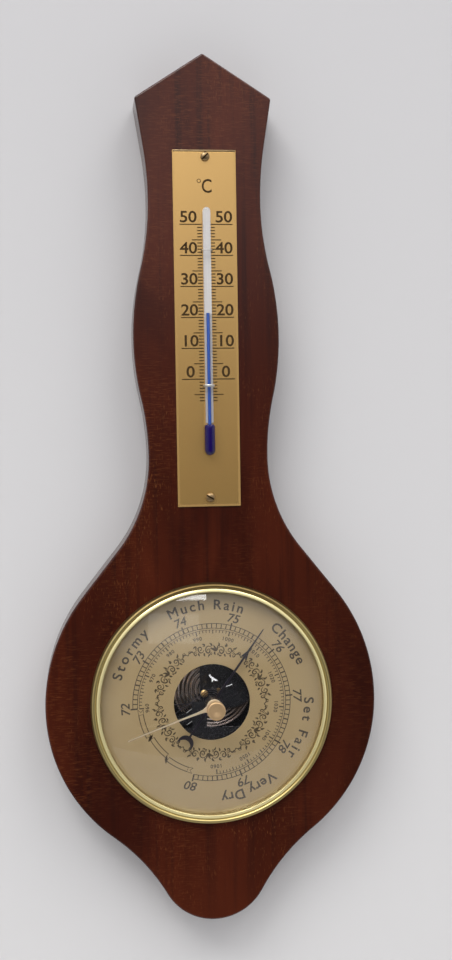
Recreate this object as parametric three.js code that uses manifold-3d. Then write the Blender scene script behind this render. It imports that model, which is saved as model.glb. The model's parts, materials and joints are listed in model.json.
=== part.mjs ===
// A wall barometer of banjo shape: a varnished board with a thermometer on its neck and an aneroid
// barometer let into its round body, whose movement shows through a hole in the dial.
//
// Millimetres. The origin is where the wall's hook carries the board, on the wall plane.
// +X is to the right as seen from the front, +Y goes into the wall and +Z is up.
// A height is a distance out from the wall, so it lies along -Y.

import * as THREE from 'three';
import { mergeVertices } from 'three/addons/utils/BufferGeometryUtils.js';
import Module from 'manifold-3d';

const wasm = await Module();
wasm.setup();

// Fits and sheet thicknesses
const seatGap = 0.3; // between pieces that touch
const runGap = 0.3; // between a turning piece and what it turns in
const overcut = 1; // how far a cutting tool runs past a face

// Board
const boardThickness = 24;
const arris = 0.8; // eased edge
const bodyRadius = 90;
const shoulderRadius = 96;
const shoulderStraight = 31.2; // from the shoulder's arc to the flare's
const flareRadius = 80;
const footLobeRadius = 30;
const footProjection = 29.4; // how far the foot reaches below the body's circle
const flankRadius = 110;
const lowerPinchHalf = 32.3;
const waistSwell = 7.1; // how far the waist stands out past the lower pinch
const waistRise = 64; // from the lower pinch to the waist
const neckDraw = 9.1; // how far the upper pinch draws in from the waist
const neckRise = 73.5; // from the waist to the upper pinch
const headFlareRadius = 180;
const headArcRise = 28.2;
const headStraightRise = 25.8;
const gableRise = 23.5; // from the head's corners to the apex
const hookBelowApex = 32;

// Hanger on the back
const hangerWidth = 17;
const hangerAbove = 14; // from the hook up to the plate's top
const hangerBelow = 26;
const hangerThickness = 1.2;
const keySlotRadius = 2;
const keyEntryRadius = 4.3;
const keyEntryDrop = 11;
const keyPocketDepth = 9;
const keyClearance = 1; // of the pocket round the keyhole
const hangerCorner = 3;
const hangerScrewInset = 4.6; // from the plate's ends to its screws

// Thermometer
const plateWidth = 33.9;
const plateLength = 190.4;
const plateThickness = 0.8;
const plateCorner = 0.5;
const plateAboveDial = 107.2; // from the dial's axis to the plate's lower edge
const scaleAxis = 0.5; // the tube and its screws stand this far right of the plate's centre line
const topScrewInset = 3.6;
const bottomScrewInset = 4.9;
const bulbRadius = 2.8;
const bulbLength = 16.7;
const bulbRise = 27.6; // from the plate's lower edge to the bulb's lower tip
const glassWall = 0.6;
const stemRadius = 2.1;
const stemLength = 115.3;
const threadRadius = 0.65;
const zeroRise = 68.4; // from the plate's lower edge to 0 degrees
const degreePitch = 1.65;
const shownTemperature = 21.3;
const clipWireRadius = 0.35;
const lowerClipDegrees = -2.2;
const upperClipDegrees = 41.4;
const clipLegDepth = 6; // how deep the staple's legs go into the board

// Barometer case, glass and dial
const sightRadius = 61; // of the glass that shows
const bezelWidth = 4.3;
const bezelHeight = 3.5;
const sheet = 0.6; // of the spun case and bezel
const drumInset = 4.2; // of the drum's wall behind the dial from the glass's edge
const backRecess = 2.5; // from the wall plane to the drum's back
const glassLap = 1.2; // of the glass's edge under the bezel
const glassThickness = 2;
const glassRise = 11; // of the dome over its edge
const glassEdgeLift = 1.3; // of the glass's visible edge above the board's face
const spacerWidth = 1.5;
const dialRecess = 3; // of the dial's face behind the board's face
const dialThickness = 0.7;
const dialHoleRadius = 20.8;
const flangeWidth = 1.3;
const clipCount = 3;
const clipWidth = 10;
const clipReach = 6; // of a clip's tongue over the drum's back
const clipTail = 12; // of a clip over the board
const clipThickness = 1.2;
const clipCorner = 2;
// Spun profile of the bezel from its outer edge, as [distance in from that edge, drop below the crest]
const bezelProfile = [[0, 1.3], [0.8, 0.2], [1.7, 0.2], [2.4, 1], [2.9, 0.5], [3.7, 0.7]];
const glassSteps = 4;

// Movement
const basePlateRadius = 44;
const basePlateThickness = 1.2;
const baseScrewCircle = 38;
const baseScrewCount = 3;
const capsuleX = 1.6;
const capsuleZ = 4.7;
const capsuleRadius = 21.6;
const capsuleFlatRadius = 10.8; // inside the corrugations
const capsuleRimWidth = 1.2;
const capsuleHalfDepth = 1.9;
const corrugationPitch = 1.6;
const corrugationDepth = 0.4;
const hiddenCorrugations = 3; // of the capsule's back half
const diaphragm = 0.4;
const capsuleRimGap = 0.6; // leaves room for the front half's travel
const postRadius = 1.6;
const postRise = 0.9;
const postNeckRadius = 1;
const nutRadius = 2.2;
const nutHeight = 0.9;
const leafThickness = 0.8;
const leafLeft = -7.6;
const leafBottom = -5.2;
const leafTop = 20.5;
const leafHinge = 24; // where the leaf leaves its bridge
const leafClampLength = 9;
const leafCorner = 2;
const tongueLap = 3; // of the clamped tongue into the leaf
const bridgeScrewSpacing = 14;
const bridgeScrewPlace = 0.55; // share of the clamp's length from the hinge to the screws
const armRadius = 0.6;
const armStudX = -3.6;
const armStudZ = 3.6;
const armStudRadius = 2.1;
const rockerX = -23.5;
const rockerRadius = 0.9;
const rockerHeight = 3.4; // of its axis above the base plate
const rockerPivotRadius = 0.5;
const rockerArmLength = 8.4;
const rockerArmHalf = 0.7;
const rockerArmDepth = 0.5; // half of it, along the shaft
const crankHalf = 0.5;
const crankLength = 1.4;
const crankZ = -10.5;
const bracketLow = -19.2;
const bracketHigh = 5.4;
const bracketThickness = 0.8;
const bracketWidth = 6;
const bracketLip = 1; // of its ears past the shaft
const linkRadius = 0.45;
const pulleyRadius = 1;
const chainThickness = 0.5;
const chainHeight = 0.8;
const chainPitch = 1.3;
const arborRadius = 0.6;
const collarRadius = 1.5;
const cockThickness = 0.8;
const cockFrontHeight = 18.3;
const cockBackHeight = 14.7;
const cockBarHalf = 24;
const cockBarTop = -14.2;
const cockBarBottom = -28;
const cockArmLeft = -10.8;
const cockArmRight = -2.6;
const cockBossRadius = 3.2;
const cockRearBossRadius = 2.4;
const cockRearArmWidth = 3.9;
const arborEnd = 0.6; // past the rear bearing
const arborTip = 0.5; // past the pointer
const pillarX = 18.5;
const pillarZ = -23.5;
const pillarRadius = 2.8;
const springTurns = 4;
const springInner = 2.3;
const springPitch = 1.1;
const springEndAngle = -130;
const springThickness = 0.28;
const springHeight = 0.6;
const springStudRadius = 0.7;
const springPointsPerTurn = 18;
const adjusterHeadRadius = 3.5;
const adjusterHeadBack = 0.9; // above the wall
const adjusterSlotDepth = 1.6;
const adjusterSlotWidth = 1;
const adjusterSleeve = 1.2; // wall of the capsule's bush round the screw
const adjusterShankRadius = 1.4;
const adjusterHole = 4.6;
const adjusterReach = 3.4; // past the base plate

// Hands
const pointerAngle = 35.6; // clockwise from the top
const pointerLength = 49;
const pointerTail = 21.6;
const pointerLift = 3.2; // above the dial
const pointerThickness = 0.3;
const pointerHalfWidth = 0.55;
const pointerHubRadius = 2.6;
const pointerRoot = 1.4; // widening of the needle at its hub
const pointerPoint = 1; // length of the sharpened end
const arrowRadius = 29.2;
const arrowLength = 4.6;
const arrowHalf = 2.1;
const crescentRadius = 4.4;
const crescentThickness = 1.4;
const crescentLip = 0.25;
const setHandAngle = 250.8;
const setHandLength = 48;
const setHandHubRadius = 5.5;
const setHandThickness = 0.9;
const setHandHubArris = 0.8;
const bladeThickness = 0.4;
const bladeRoot = 1; // how far the blade's root lies inside the hub's edge
// Right edge of the set hand's blade, as [half width, distance from its root]
const bladeProfile = [[2.4, 0], [0.9, 9], [0.55, 14], [0.25, setHandLength]];
const setHandDroop = 6.6; // of its tip below its hub
const spindleRadius = 1.2;
const spindleTip = 0.5; // past the set hand's hub
const knobRadius = 4.9;
const knobHeight = 7.4;
const washerRadius = 3.6;
const washerThickness = 0.6;
const knobNeck = 0.75; // of the knob's radius, at its foot
const knobNeckRise = 0.3; // of its height, up to the neck's end
const knobFlare = 0.5; // of its height, where the full radius starts
const knobArris = 0.5;

// Screws
const woodScrewShank = 1.5;
const woodScrewHead = 2.9;
const woodScrewRise = 1;
const woodScrewLength = 12;
const smallScrewShank = 1.1;
const plateScrewHead = 2.4;
const plateScrewRise = 1.6;
const topSlotAngle = 45; // rising to the right
const bottomSlotAngle = -30;
const baseScrewHead = 2.6;
const baseScrewRise = 1.1;
const baseScrewReach = 1.4; // past the base plate's face
const bridgeScrewHead = 2.2;
const bridgeScrewRise = 1.2;
const bridgeScrewReach = 4; // below the leaf
const cockScrewHead = 2.1;
const cockScrewLength = 5;
const studRise = 1;
const studSlotAngle = 20;
const slotWidth = 0.6;

// Facets round a full turn
const largeFacets = 48;
const middleFacets = 28;
const smallFacets = 10;
const bossFacets = 16;
const capsuleBackFacets = 20;
const tubeFacets = 18;
const knobFacets = 24;

const degrees = Math.PI / 180;

// Levels above the wall
const drumBackInside = backRecess + sheet;
const dialFace = boardThickness - dialRecess;
const dialBack = dialFace - dialThickness;
const drumStep = dialBack - seatGap;
const glassEdgeFace = boardThickness + glassEdgeLift;
const glassTop = glassEdgeFace + glassRise;
const flangeBack = boardThickness + seatGap;
const flangeFace = flangeBack + sheet;
const baseBack = drumBackInside + seatGap;
const baseFace = baseBack + basePlateThickness;
const capsuleBackFace = baseFace + 3 * seatGap; // stands clear of the plate on its bush
const capsuleBackRim = capsuleBackFace + capsuleHalfDepth;
const capsuleFrontRim = capsuleBackRim + 2 * diaphragm + capsuleRimGap;
const capsuleFrontFace = capsuleFrontRim + capsuleHalfDepth;
const postBase = capsuleFrontFace + seatGap;
const postTop = postBase + postRise;
const leafBack = postTop + seatGap;
const leafFace = leafBack + leafThickness;
const nutBase = leafFace + seatGap;
const rockerLevel = baseFace + rockerHeight;
const chainLevel = rockerLevel + rockerArmLength;
const armLevel = leafFace + 2 * seatGap + armRadius;
const pointerLevel = dialFace + pointerLift;

// Radii that follow from the sight radius
const bezelRadius = sightRadius + bezelWidth;
const glassRadius = sightRadius + glassLap;
const drumRadius = glassRadius - drumInset;
const drumRimInside = glassRadius + seatGap;
const drumRimOutside = drumRimInside + sheet;
const flangeRadius = drumRimOutside + flangeWidth;
const openingRadius = drumRimOutside + seatGap;

// Places up the board, from the dial's axis
const flareX = lowerPinchHalf + flareRadius;
const shoulderX = bodyRadius - shoulderRadius;
const shoulderToFlare = Math.hypot(shoulderRadius + flareRadius, shoulderStraight);
const flareZ = Math.sqrt(shoulderToFlare ** 2 - (flareX - shoulderX) ** 2);
const waistHalf = lowerPinchHalf + waistSwell;
const waistZ = flareZ + waistRise;
const upperPinchHalf = waistHalf - neckDraw;
const upperPinchZ = waistZ + neckRise;
const cornerZ = upperPinchZ + headArcRise + headStraightRise;
const apexZ = cornerZ + gableRise;
const hookZ = apexZ - hookBelowApex;
const plateLow = plateAboveDial;
const plateFace = boardThickness + seatGap + plateThickness;
const tubeLevel = plateFace + seatGap + bulbRadius;

// Solid tools

// Merges shared corners, drops facets without area and turns the faces outwards.
function closed(geometry) {
  geometry.deleteAttribute('normal');
  geometry.deleteAttribute('uv');
  const merged = mergeVertices(geometry, 1e-5);
  const corners = merged.attributes.position;
  const at = (i) => new THREE.Vector3().fromBufferAttribute(corners, i);
  const kept = [];
  let volume = 0;
  for (let i = 0; i < merged.index.count; i += 3) {
    const [a, b, c] = [0, 1, 2].map((k) => merged.index.getX(i + k));
    if (a === b || b === c || c === a) continue;
    kept.push(a, b, c);
    volume += at(a).dot(at(b).cross(at(c)));
  }
  merged.setIndex(volume < 0 ? kept.reverse() : kept);
  return merged;
}

function toSolid(geometry) {
  const source = closed(geometry.clone());
  return new wasm.Manifold(new wasm.Mesh({
    numProp: 3,
    vertProperties: new Float32Array(source.attributes.position.array),
    triVerts: new Uint32Array(source.index.array),
  }));
}

function fromSolid(solid) {
  const { vertProperties, triVerts } = solid.getMesh();
  const geometry = new THREE.BufferGeometry();
  geometry.setAttribute('position', new THREE.BufferAttribute(vertProperties, 3));
  geometry.setIndex(new THREE.BufferAttribute(triVerts, 1));
  return geometry;
}

function cut(geometry, ...tools) {
  return fromSolid(tools.reduce((solid, tool) => solid.subtract(toSolid(tool)), toSolid(geometry)));
}

function join(...geometries) {
  return fromSolid(geometries.map(toSolid).reduce((solid, next) => solid.add(next)));
}

// Turns a profile of [radius, height] about an axis that stands out from the wall at x, z.
function turned(profile, facets, x = 0, z = 0) {
  const points = profile.map(([radius, height]) => new THREE.Vector2(radius, height));
  return closed(new THREE.LatheGeometry(points, facets).rotateX(Math.PI).translate(x, 0, z));
}

// Turns a profile of [radius, z] about an upright axis.
function turnedUpright(profile, facets) {
  const points = profile.map(([radius, z]) => new THREE.Vector2(radius, z));
  return closed(new THREE.LatheGeometry(points, facets).rotateX(Math.PI / 2));
}

function rod(radius, low, high, facets = smallFacets, x = 0, z = 0) {
  return turned([[0, low], [radius, low], [radius, high], [0, high]], facets, x, z);
}

// Extrudes an x, z outline between two heights.
function stamped(shape, low, high, curveSegments = 6) {
  const geometry = new THREE.ExtrudeGeometry(shape, { depth: high - low, bevelEnabled: false, curveSegments });
  return closed(geometry.rotateX(Math.PI / 2).translate(0, -low, 0));
}

function bar(left, right, bottom, top, low, high) {
  const width = right - left;
  const depth = high - low;
  const rise = top - bottom;
  return closed(new THREE.BoxGeometry(width, depth, rise)
    .translate(left + width / 2, -low - depth / 2, bottom + rise / 2));
}

function polygon(points) {
  return new THREE.Shape(points.map(([x, z]) => new THREE.Vector2(x, z)));
}

function roundedPlate(left, right, bottom, top, radius) {
  const shape = new THREE.Shape();
  shape.absarc(right - radius, bottom + radius, radius, -Math.PI / 2, 0);
  shape.absarc(right - radius, top - radius, radius, 0, Math.PI / 2);
  shape.absarc(left + radius, top - radius, radius, Math.PI / 2, Math.PI);
  shape.absarc(left + radius, bottom + radius, radius, Math.PI, 1.5 * Math.PI);
  return shape;
}

// A strip of varying half width along a list of centre points in the x, z plane.
function strip(centres, halfWidth) {
  const sides = [[], []];
  centres.forEach((centre, i) => {
    const before = centres[Math.max(i - 1, 0)];
    const after = centres[Math.min(i + 1, centres.length - 1)];
    const across = new THREE.Vector2(before.y - after.y, after.x - before.x).normalize();
    sides[0].push(centre.clone().addScaledVector(across, halfWidth(i)));
    sides[1].unshift(centre.clone().addScaledVector(across, -halfWidth(i)));
  });
  return new THREE.Shape([...sides[0], ...sides[1]]);
}

// Materials
const finish = (color, roughness, metalness, more = {}) =>
  new THREE.MeshStandardMaterial({ color, roughness, metalness, ...more });
const wood = () => finish(0x4a1c10, 0.35, 0);
const satinBrass = () => finish(0xb79c62, 0.42, 0.8);
const polishedBrass = () => finish(0xc9ad5e, 0.18, 1);
const blackLacquer = () => finish(0x15151a, 0.3, 0.3);
const zinc = () => finish(0x9a9a98, 0.4, 0.9);
const steel = () => finish(0xb4b4b6, 0.28, 1);
const blueSteel = () => finish(0x23212b, 0.3, 0.8);
const clearGlass = () => finish(0xe6eae8, 0.05, 0, { transparent: true, opacity: 0.3 });
const blueSpirit = () => finish(0x1d3f9c, 0.3, 0);

const barometer = new THREE.Group();
const onDial = new THREE.Group(); // everything placed from the dial's axis
onDial.position.z = -hookZ;
barometer.add(onDial);

function place(group, name, geometry, material) {
  const piece = new THREE.Mesh(geometry, material);
  piece.name = name;
  group.add(piece);
  return piece;
}

// Slotted screw pointing into the wall. The head's underside or, when sunk, its top lies at level.
function screw({ x, z, level, head, rise, shank, length, sunk = false, slotAngle = 0, facets = smallFacets }) {
  const underside = sunk ? level - rise : level;
  const top = underside + rise;
  const brow = sunk ? [[head, top]] : [[head, underside + 0.4 * rise], [0.7 * head, underside + 0.85 * rise]];
  const seat = sunk ? [[shank, underside]] : [[shank, underside], [head, underside]];
  const profile = [[0, underside - length], [shank, underside - length + shank], ...seat, ...brow, [0, top]];
  const slot = new THREE.BoxGeometry(3 * head, rise, slotWidth)
    .rotateY(-slotAngle * degrees)
    .translate(x, -top, z);
  return cut(turned(profile, facets, x, z), slot);
}

// Round hole for a screw, through the heights given, with a cone for a sunk head.
function screwHole({ x, z, level, head, rise, shank, length, sunk = false }) {
  const deep = level - (sunk ? rise : 0) - length - seatGap;
  if (!sunk) return rod(shank + seatGap, deep, level + overcut, smallFacets, x, z);
  return turned([
    [0, deep], [shank + seatGap, deep], [shank + seatGap, level - rise], [head + seatGap, level],
    [head + seatGap, level + overcut], [0, level + overcut],
  ], smallFacets, x, z);
}

// Board outline: the right half as arcs from the foot up to the apex, then its mirror image.
function boardOutline() {
  const half = new THREE.Path();
  const lobeZ = footLobeRadius - bodyRadius - footProjection;
  const toLobe = footLobeRadius + flankRadius;
  const toBody = bodyRadius + flankRadius;
  const flankZ = (toBody ** 2 - toLobe ** 2 + lobeZ ** 2) / (2 * lobeZ);
  const flankX = Math.sqrt(toBody ** 2 - flankZ ** 2);
  const lobeEnd = Math.atan2(flankZ - lobeZ, flankX);
  const bodyStart = Math.atan2(flankZ, flankX);
  half.absarc(0, lobeZ, footLobeRadius, -Math.PI / 2, lobeEnd, false);
  half.absarc(flankX, flankZ, flankRadius, lobeEnd + Math.PI, bodyStart + Math.PI, true);
  half.absarc(0, 0, bodyRadius, bodyStart, 0, false);

  const toFlare = Math.atan2(flareZ, flareX - shoulderX);
  const shoulderEnd = toFlare - Math.atan2(shoulderStraight, shoulderRadius + flareRadius);
  half.absarc(shoulderX, 0, shoulderRadius, 0, shoulderEnd, false);
  half.absarc(flareX, flareZ, flareRadius, shoulderEnd + Math.PI, Math.PI, true);

  const swellRadius = (waistRise ** 2 + waistSwell ** 2) / (4 * waistSwell);
  const swellTurn = Math.asin(waistRise / 2 / swellRadius);
  half.absarc(lowerPinchHalf + swellRadius, flareZ, swellRadius, Math.PI, Math.PI - swellTurn, true);
  half.absarc(waistHalf - swellRadius, waistZ, swellRadius, -swellTurn, 0, false);

  const drawRadius = (neckRise ** 2 + neckDraw ** 2) / (4 * neckDraw);
  const drawTurn = Math.asin(neckRise / 2 / drawRadius);
  half.absarc(waistHalf - drawRadius, waistZ, drawRadius, 0, drawTurn, false);
  half.absarc(upperPinchHalf + drawRadius, upperPinchZ, drawRadius, Math.PI + drawTurn, Math.PI, true);

  const headTurn = Math.asin(headArcRise / headFlareRadius);
  const headX = upperPinchHalf + headFlareRadius;
  half.absarc(headX, upperPinchZ, headFlareRadius, Math.PI, Math.PI - headTurn, true);
  const arcEndX = headX - headFlareRadius * Math.cos(headTurn);
  half.lineTo(arcEndX + headStraightRise * Math.tan(headTurn), cornerZ);
  half.lineTo(0, apexZ);

  const right = half.getPoints(3).filter((point, i, all) => i === 0 || point.distanceTo(all[i - 1]) > 0.01);
  const left = right.slice(1, -1).reverse().map((point) => new THREE.Vector2(-point.x, point.y));
  return new THREE.Shape([...right, ...left]);
}

// Screws and staples that go into the board
const plateScrews = {
  thermometer_screw_top: {
    x: scaleAxis, z: plateLow + plateLength - topScrewInset, level: plateFace + seatGap,
    head: plateScrewHead, rise: plateScrewRise, shank: smallScrewShank, length: woodScrewLength,
    slotAngle: topSlotAngle,
  },
  thermometer_screw_bottom: {
    x: scaleAxis, z: plateLow + bottomScrewInset, level: plateFace + seatGap,
    head: plateScrewHead, rise: plateScrewRise, shank: smallScrewShank, length: woodScrewLength,
    slotAngle: bottomSlotAngle,
  },
};
const clipPlaces = {
  tube_clip_lower: plateLow + zeroRise + lowerClipDegrees * degreePitch,
  tube_clip_upper: plateLow + zeroRise + upperClipDegrees * degreePitch,
};
const clipBend = stemRadius + seatGap + clipWireRadius;

function stapleHoles(low, high) {
  return Object.values(clipPlaces).flatMap((z) => [-1, 1].map((side) =>
    rod(clipWireRadius + seatGap, low, high, smallFacets, scaleAxis + side * clipBend, z)));
}

// Sunk screw driven from the back, so that its head lies at level and its shank points out from the wall.
function backScrew({ x, z, level, head, rise, shank, length }) {
  const seat = level + rise;
  const profile = [
    [0, seat + length], [shank, seat + length - shank], [shank, seat], [head, level], [0, level],
  ];
  const slot = new THREE.BoxGeometry(3 * head, rise, slotWidth).translate(x, -level, z);
  return cut(turned(profile, smallFacets, x, z), slot);
}

function backScrewHole({ x, z, level, head, rise, shank, length }) {
  const deep = level + rise + length + seatGap;
  return turned([
    [0, deep], [shank + seatGap, deep], [shank + seatGap, level + rise], [head + seatGap, level],
    [head + seatGap, level - overcut], [0, level - overcut],
  ], smallFacets, x, z);
}

const woodScrew = {
  head: woodScrewHead, rise: woodScrewRise, shank: woodScrewShank, length: woodScrewLength,
};
const hangerScrews = {
  hanger_screw_top: hangerAbove - hangerScrewInset,
  hanger_screw_bottom: hangerScrewInset - hangerBelow,
};
function hangerScrewAt(rise) {
  return { ...woodScrew, x: 0, z: hookZ + rise, level: 0 };
}

// Case clips lie round the drum's back, each on its own radius
const clipBack = backRecess - seatGap - clipThickness;
const clipInner = drumRadius - clipReach;
const clipOuter = openingRadius + clipTail;
const clipScrewRadius = openingRadius + clipTail / 2;
const clipAngles = Array.from({ length: clipCount }, (_, i) => (i * 360) / clipCount);
const clipScrewShape = { ...woodScrew, x: 0, z: clipScrewRadius, level: clipBack };
const aroundDial = (geometry, angle) => geometry.rotateY(angle * degrees);

function board() {
  const blank = new THREE.ExtrudeGeometry(boardOutline(), {
    depth: boardThickness - 2 * arris,
    bevelThickness: arris,
    bevelSize: arris,
    bevelOffset: -arris,
    bevelSegments: 1,
  }).rotateX(Math.PI / 2).translate(0, -arris, 0);
  const hangerHalf = hangerWidth / 2 + seatGap;
  const hangerLow = hookZ - hangerBelow - seatGap;
  const hangerHigh = hookZ + hangerAbove + seatGap;
  const hangerPocket = bar(-hangerHalf, hangerHalf, hangerLow, hangerHigh, -overcut, hangerThickness + seatGap);
  const keyHalf = keyEntryRadius + keyClearance;
  const keyLow = hookZ - keyEntryDrop - keyHalf;
  const keyPocket = bar(-keyHalf, keyHalf, keyLow, hookZ + keyHalf, -overcut, keyPocketDepth);
  const clipHalf = clipWidth / 2 + seatGap;
  const clipPocket = bar(-clipHalf, clipHalf, drumRadius, clipOuter + seatGap, -overcut, backRecess);
  return cut(
    blank,
    rod(openingRadius, -overcut, boardThickness + overcut, largeFacets),
    hangerPocket,
    keyPocket,
    ...clipAngles.map((angle) => aroundDial(clipPocket.clone(), angle)),
    ...clipAngles.map((angle) => aroundDial(backScrewHole(clipScrewShape), angle)),
    ...Object.values(hangerScrews).map((rise) => backScrewHole(hangerScrewAt(rise))),
    ...Object.values(plateScrews).map(screwHole),
    ...stapleHoles(boardThickness - clipLegDepth, boardThickness + overcut),
  );
}

function hangerPlate() {
  const half = hangerWidth / 2;
  const shape = roundedPlate(-half, half, hookZ - hangerBelow, hookZ + hangerAbove, hangerCorner);
  const key = new THREE.Path();
  const entryZ = hookZ - keyEntryDrop;
  const lip = Math.asin(keySlotRadius / keyEntryRadius);
  key.absarc(0, entryZ, keyEntryRadius, Math.PI / 2 + lip, 2.5 * Math.PI - lip);
  key.absarc(0, hookZ, keySlotRadius, 0, Math.PI);
  shape.holes.push(key);
  return cut(stamped(shape, 0, hangerThickness),
    ...Object.values(hangerScrews).map((rise) => backScrewHole(hangerScrewAt(rise))));
}

place(onDial, 'board', board(), wood());
place(onDial, 'hanger_plate', hangerPlate(), zinc());
for (const [name, rise] of Object.entries(hangerScrews)) {
  place(onDial, name, backScrew(hangerScrewAt(rise)), steel());
}

// Thermometer
function thermometerPlate() {
  const half = plateWidth / 2;
  const shape = roundedPlate(-half, half, plateLow, plateLow + plateLength, plateCorner);
  const blank = stamped(shape, plateFace - plateThickness, plateFace, 1);
  return cut(
    blank,
    ...Object.values(plateScrews).map(screwHole),
    ...stapleHoles(boardThickness, plateFace + overcut),
  );
}

const bulbLow = plateLow + bulbRise;
const stemLow = bulbLow + bulbLength;
const stemHigh = stemLow + stemLength;
const boreRadius = threadRadius + seatGap;
const threadTop = plateLow + zeroRise + shownTemperature * degreePitch;

function thermometerGlass() {
  const inside = bulbRadius - glassWall;
  return turnedUpright([
    [0, bulbLow], [0.6 * bulbRadius, bulbLow + 0.2 * bulbRadius], [bulbRadius, bulbLow + bulbRadius],
    [bulbRadius, stemLow - bulbRadius], [stemRadius, stemLow], [stemRadius, stemHigh - stemRadius],
    [0.8 * stemRadius, stemHigh - 0.4 * stemRadius], [boreRadius, stemHigh], [boreRadius, stemLow],
    [inside, stemLow - bulbRadius], [inside, bulbLow + bulbRadius],
    [0.6 * inside, bulbLow + glassWall + 0.2 * bulbRadius], [0, bulbLow + glassWall],
  ], tubeFacets);
}

function thermometerSpirit() {
  const inside = bulbRadius - glassWall - seatGap;
  const low = bulbLow + glassWall + seatGap;
  return turnedUpright([
    [0, low], [0.6 * inside, low + 0.2 * bulbRadius], [inside, bulbLow + bulbRadius],
    [inside, stemLow - bulbRadius], [threadRadius, stemLow], [threadRadius, threadTop], [0, threadTop],
  ], smallFacets);
}

// A wire staple that goes over the stem, through the plate and into the board.
function tubeClip(z) {
  const path = new THREE.CurvePath();
  const foot = boardThickness - clipLegDepth + overcut;
  const bow = Array.from({ length: 9 }, (_, i) => {
    const angle = (i / 8) * Math.PI;
    return new THREE.Vector3(clipBend * Math.cos(angle), -tubeLevel - clipBend * Math.sin(angle), 0);
  });
  path.add(new THREE.LineCurve3(new THREE.Vector3(clipBend, -foot, 0), bow[0]));
  bow.slice(1).forEach((point, i) => path.add(new THREE.LineCurve3(bow[i], point)));
  path.add(new THREE.LineCurve3(bow[8], new THREE.Vector3(-clipBend, -foot, 0)));
  const section = new THREE.Shape().absarc(0, 0, clipWireRadius, 0, 2 * Math.PI);
  const wire = new THREE.ExtrudeGeometry(section, { steps: 18, curveSegments: 3, extrudePath: path });
  return closed(wire.translate(scaleAxis, 0, z));
}

place(onDial, 'thermometer_plate', thermometerPlate(), satinBrass());
for (const [name, shape] of Object.entries(plateScrews)) {
  place(onDial, name, screw(shape), polishedBrass());
}
for (const [name, z] of Object.entries(clipPlaces)) {
  place(onDial, name, tubeClip(z), zinc());
}
const tube = new THREE.Group();
tube.position.set(scaleAxis, -tubeLevel, 0);
onDial.add(tube);
place(tube, 'thermometer_glass', thermometerGlass(), clearGlass());
place(tube, 'thermometer_spirit', thermometerSpirit(), blueSpirit());

// Barometer case
const baseScrews = Array.from({ length: baseScrewCount }, (_, i) => {
  const angle = (i / baseScrewCount) * 2 * Math.PI + Math.PI / 6;
  return {
    x: baseScrewCircle * Math.cos(angle), z: baseScrewCircle * Math.sin(angle),
    level: backRecess - seatGap - baseScrewRise, head: baseScrewHead, rise: baseScrewRise,
    shank: smallScrewShank, length: sheet + basePlateThickness + baseScrewReach,
  };
});

// Round-headed screw from the back, its head against the drum.
function baseScrew({ x, z, level, head, rise, shank, length }) {
  const seat = level + rise;
  const profile = [
    [0, seat + length], [shank, seat + length], [shank, seat], [head, seat], [head, level + 0.4 * rise],
    [0, level],
  ];
  const slot = new THREE.BoxGeometry(3 * head, rise, slotWidth).translate(x, -level, z);
  return cut(turned(profile, smallFacets, x, z), slot);
}

function baseScrewHole({ x, z, shank }) {
  return rod(shank + seatGap, backRecess - overcut, baseFace + overcut, smallFacets, x, z);
}

function caseDrum() {
  const shell = turned([
    [0, backRecess], [drumRadius, backRecess], [drumRadius, drumStep - sheet],
    [drumRimOutside, drumStep - sheet], [drumRimOutside, flangeBack], [flangeRadius, flangeBack],
    [flangeRadius, flangeFace], [drumRimInside, flangeFace], [drumRimInside, drumStep],
    [drumRadius - sheet, drumStep], [drumRadius - sheet, drumBackInside], [0, drumBackInside],
  ], largeFacets);
  const access = rod(adjusterHole, backRecess - overcut, baseBack, bossFacets, capsuleX, capsuleZ);
  return cut(shell, access, ...baseScrews.map(baseScrewHole));
}

function caseClip() {
  const half = clipWidth / 2;
  const shape = roundedPlate(-half, half, clipInner, clipOuter, clipCorner);
  return cut(stamped(shape, clipBack, clipBack + clipThickness, 2), backScrewHole(clipScrewShape));
}

// Spun bezel: an outer bead, a groove and an inner ring that laps the glass, hollow behind.
function bezel() {
  const foot = boardThickness + seatGap;
  const skirt = flangeRadius + seatGap;
  const crest = boardThickness + bezelHeight;
  const lip = glassEdgeFace + seatGap;
  return turned([
    [skirt, foot], [bezelRadius, foot],
    ...bezelProfile.map(([inset, drop]) => [bezelRadius - inset, crest - drop]),
    [sightRadius, lip + sheet], [sightRadius, lip], [sightRadius + sheet, lip],
    [drumRimInside, flangeFace + seatGap], [skirt, flangeFace + seatGap], [skirt, foot],
  ], largeFacets);
}

// Domed glass. The dome is a sphere through the visible edge, and its underside runs parallel to it.
const domeRadius = (sightRadius ** 2 + glassRise ** 2) / (2 * glassRise);
const domeDrop = (radius) => domeRadius - Math.sqrt(domeRadius ** 2 - radius ** 2);
const spindleHole = spindleRadius + runGap;

function glass() {
  const run = (glassRadius - spindleHole) / glassSteps;
  const radii = Array.from({ length: glassSteps + 1 }, (_, i) => spindleHole + run * i);
  const face = radii.map((radius) => [radius, glassTop - domeDrop(radius)]);
  const under = face.map(([radius, height]) => [radius, height - glassThickness]);
  return turned([...under, ...face.reverse(), under[0]], largeFacets);
}

function glassSpacer() {
  const inner = glassRadius - spacerWidth;
  const top = glassTop - domeDrop(glassRadius) - glassThickness - seatGap;
  const base = dialFace + seatGap;
  return turned([
    [inner, base], [glassRadius, base], [glassRadius, top], [inner, top], [inner, base],
  ], largeFacets);
}

function dial() {
  return turned([
    [dialHoleRadius, dialBack], [glassRadius, dialBack], [glassRadius, dialFace], [dialHoleRadius, dialFace],
    [dialHoleRadius, dialBack],
  ], largeFacets);
}

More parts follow.
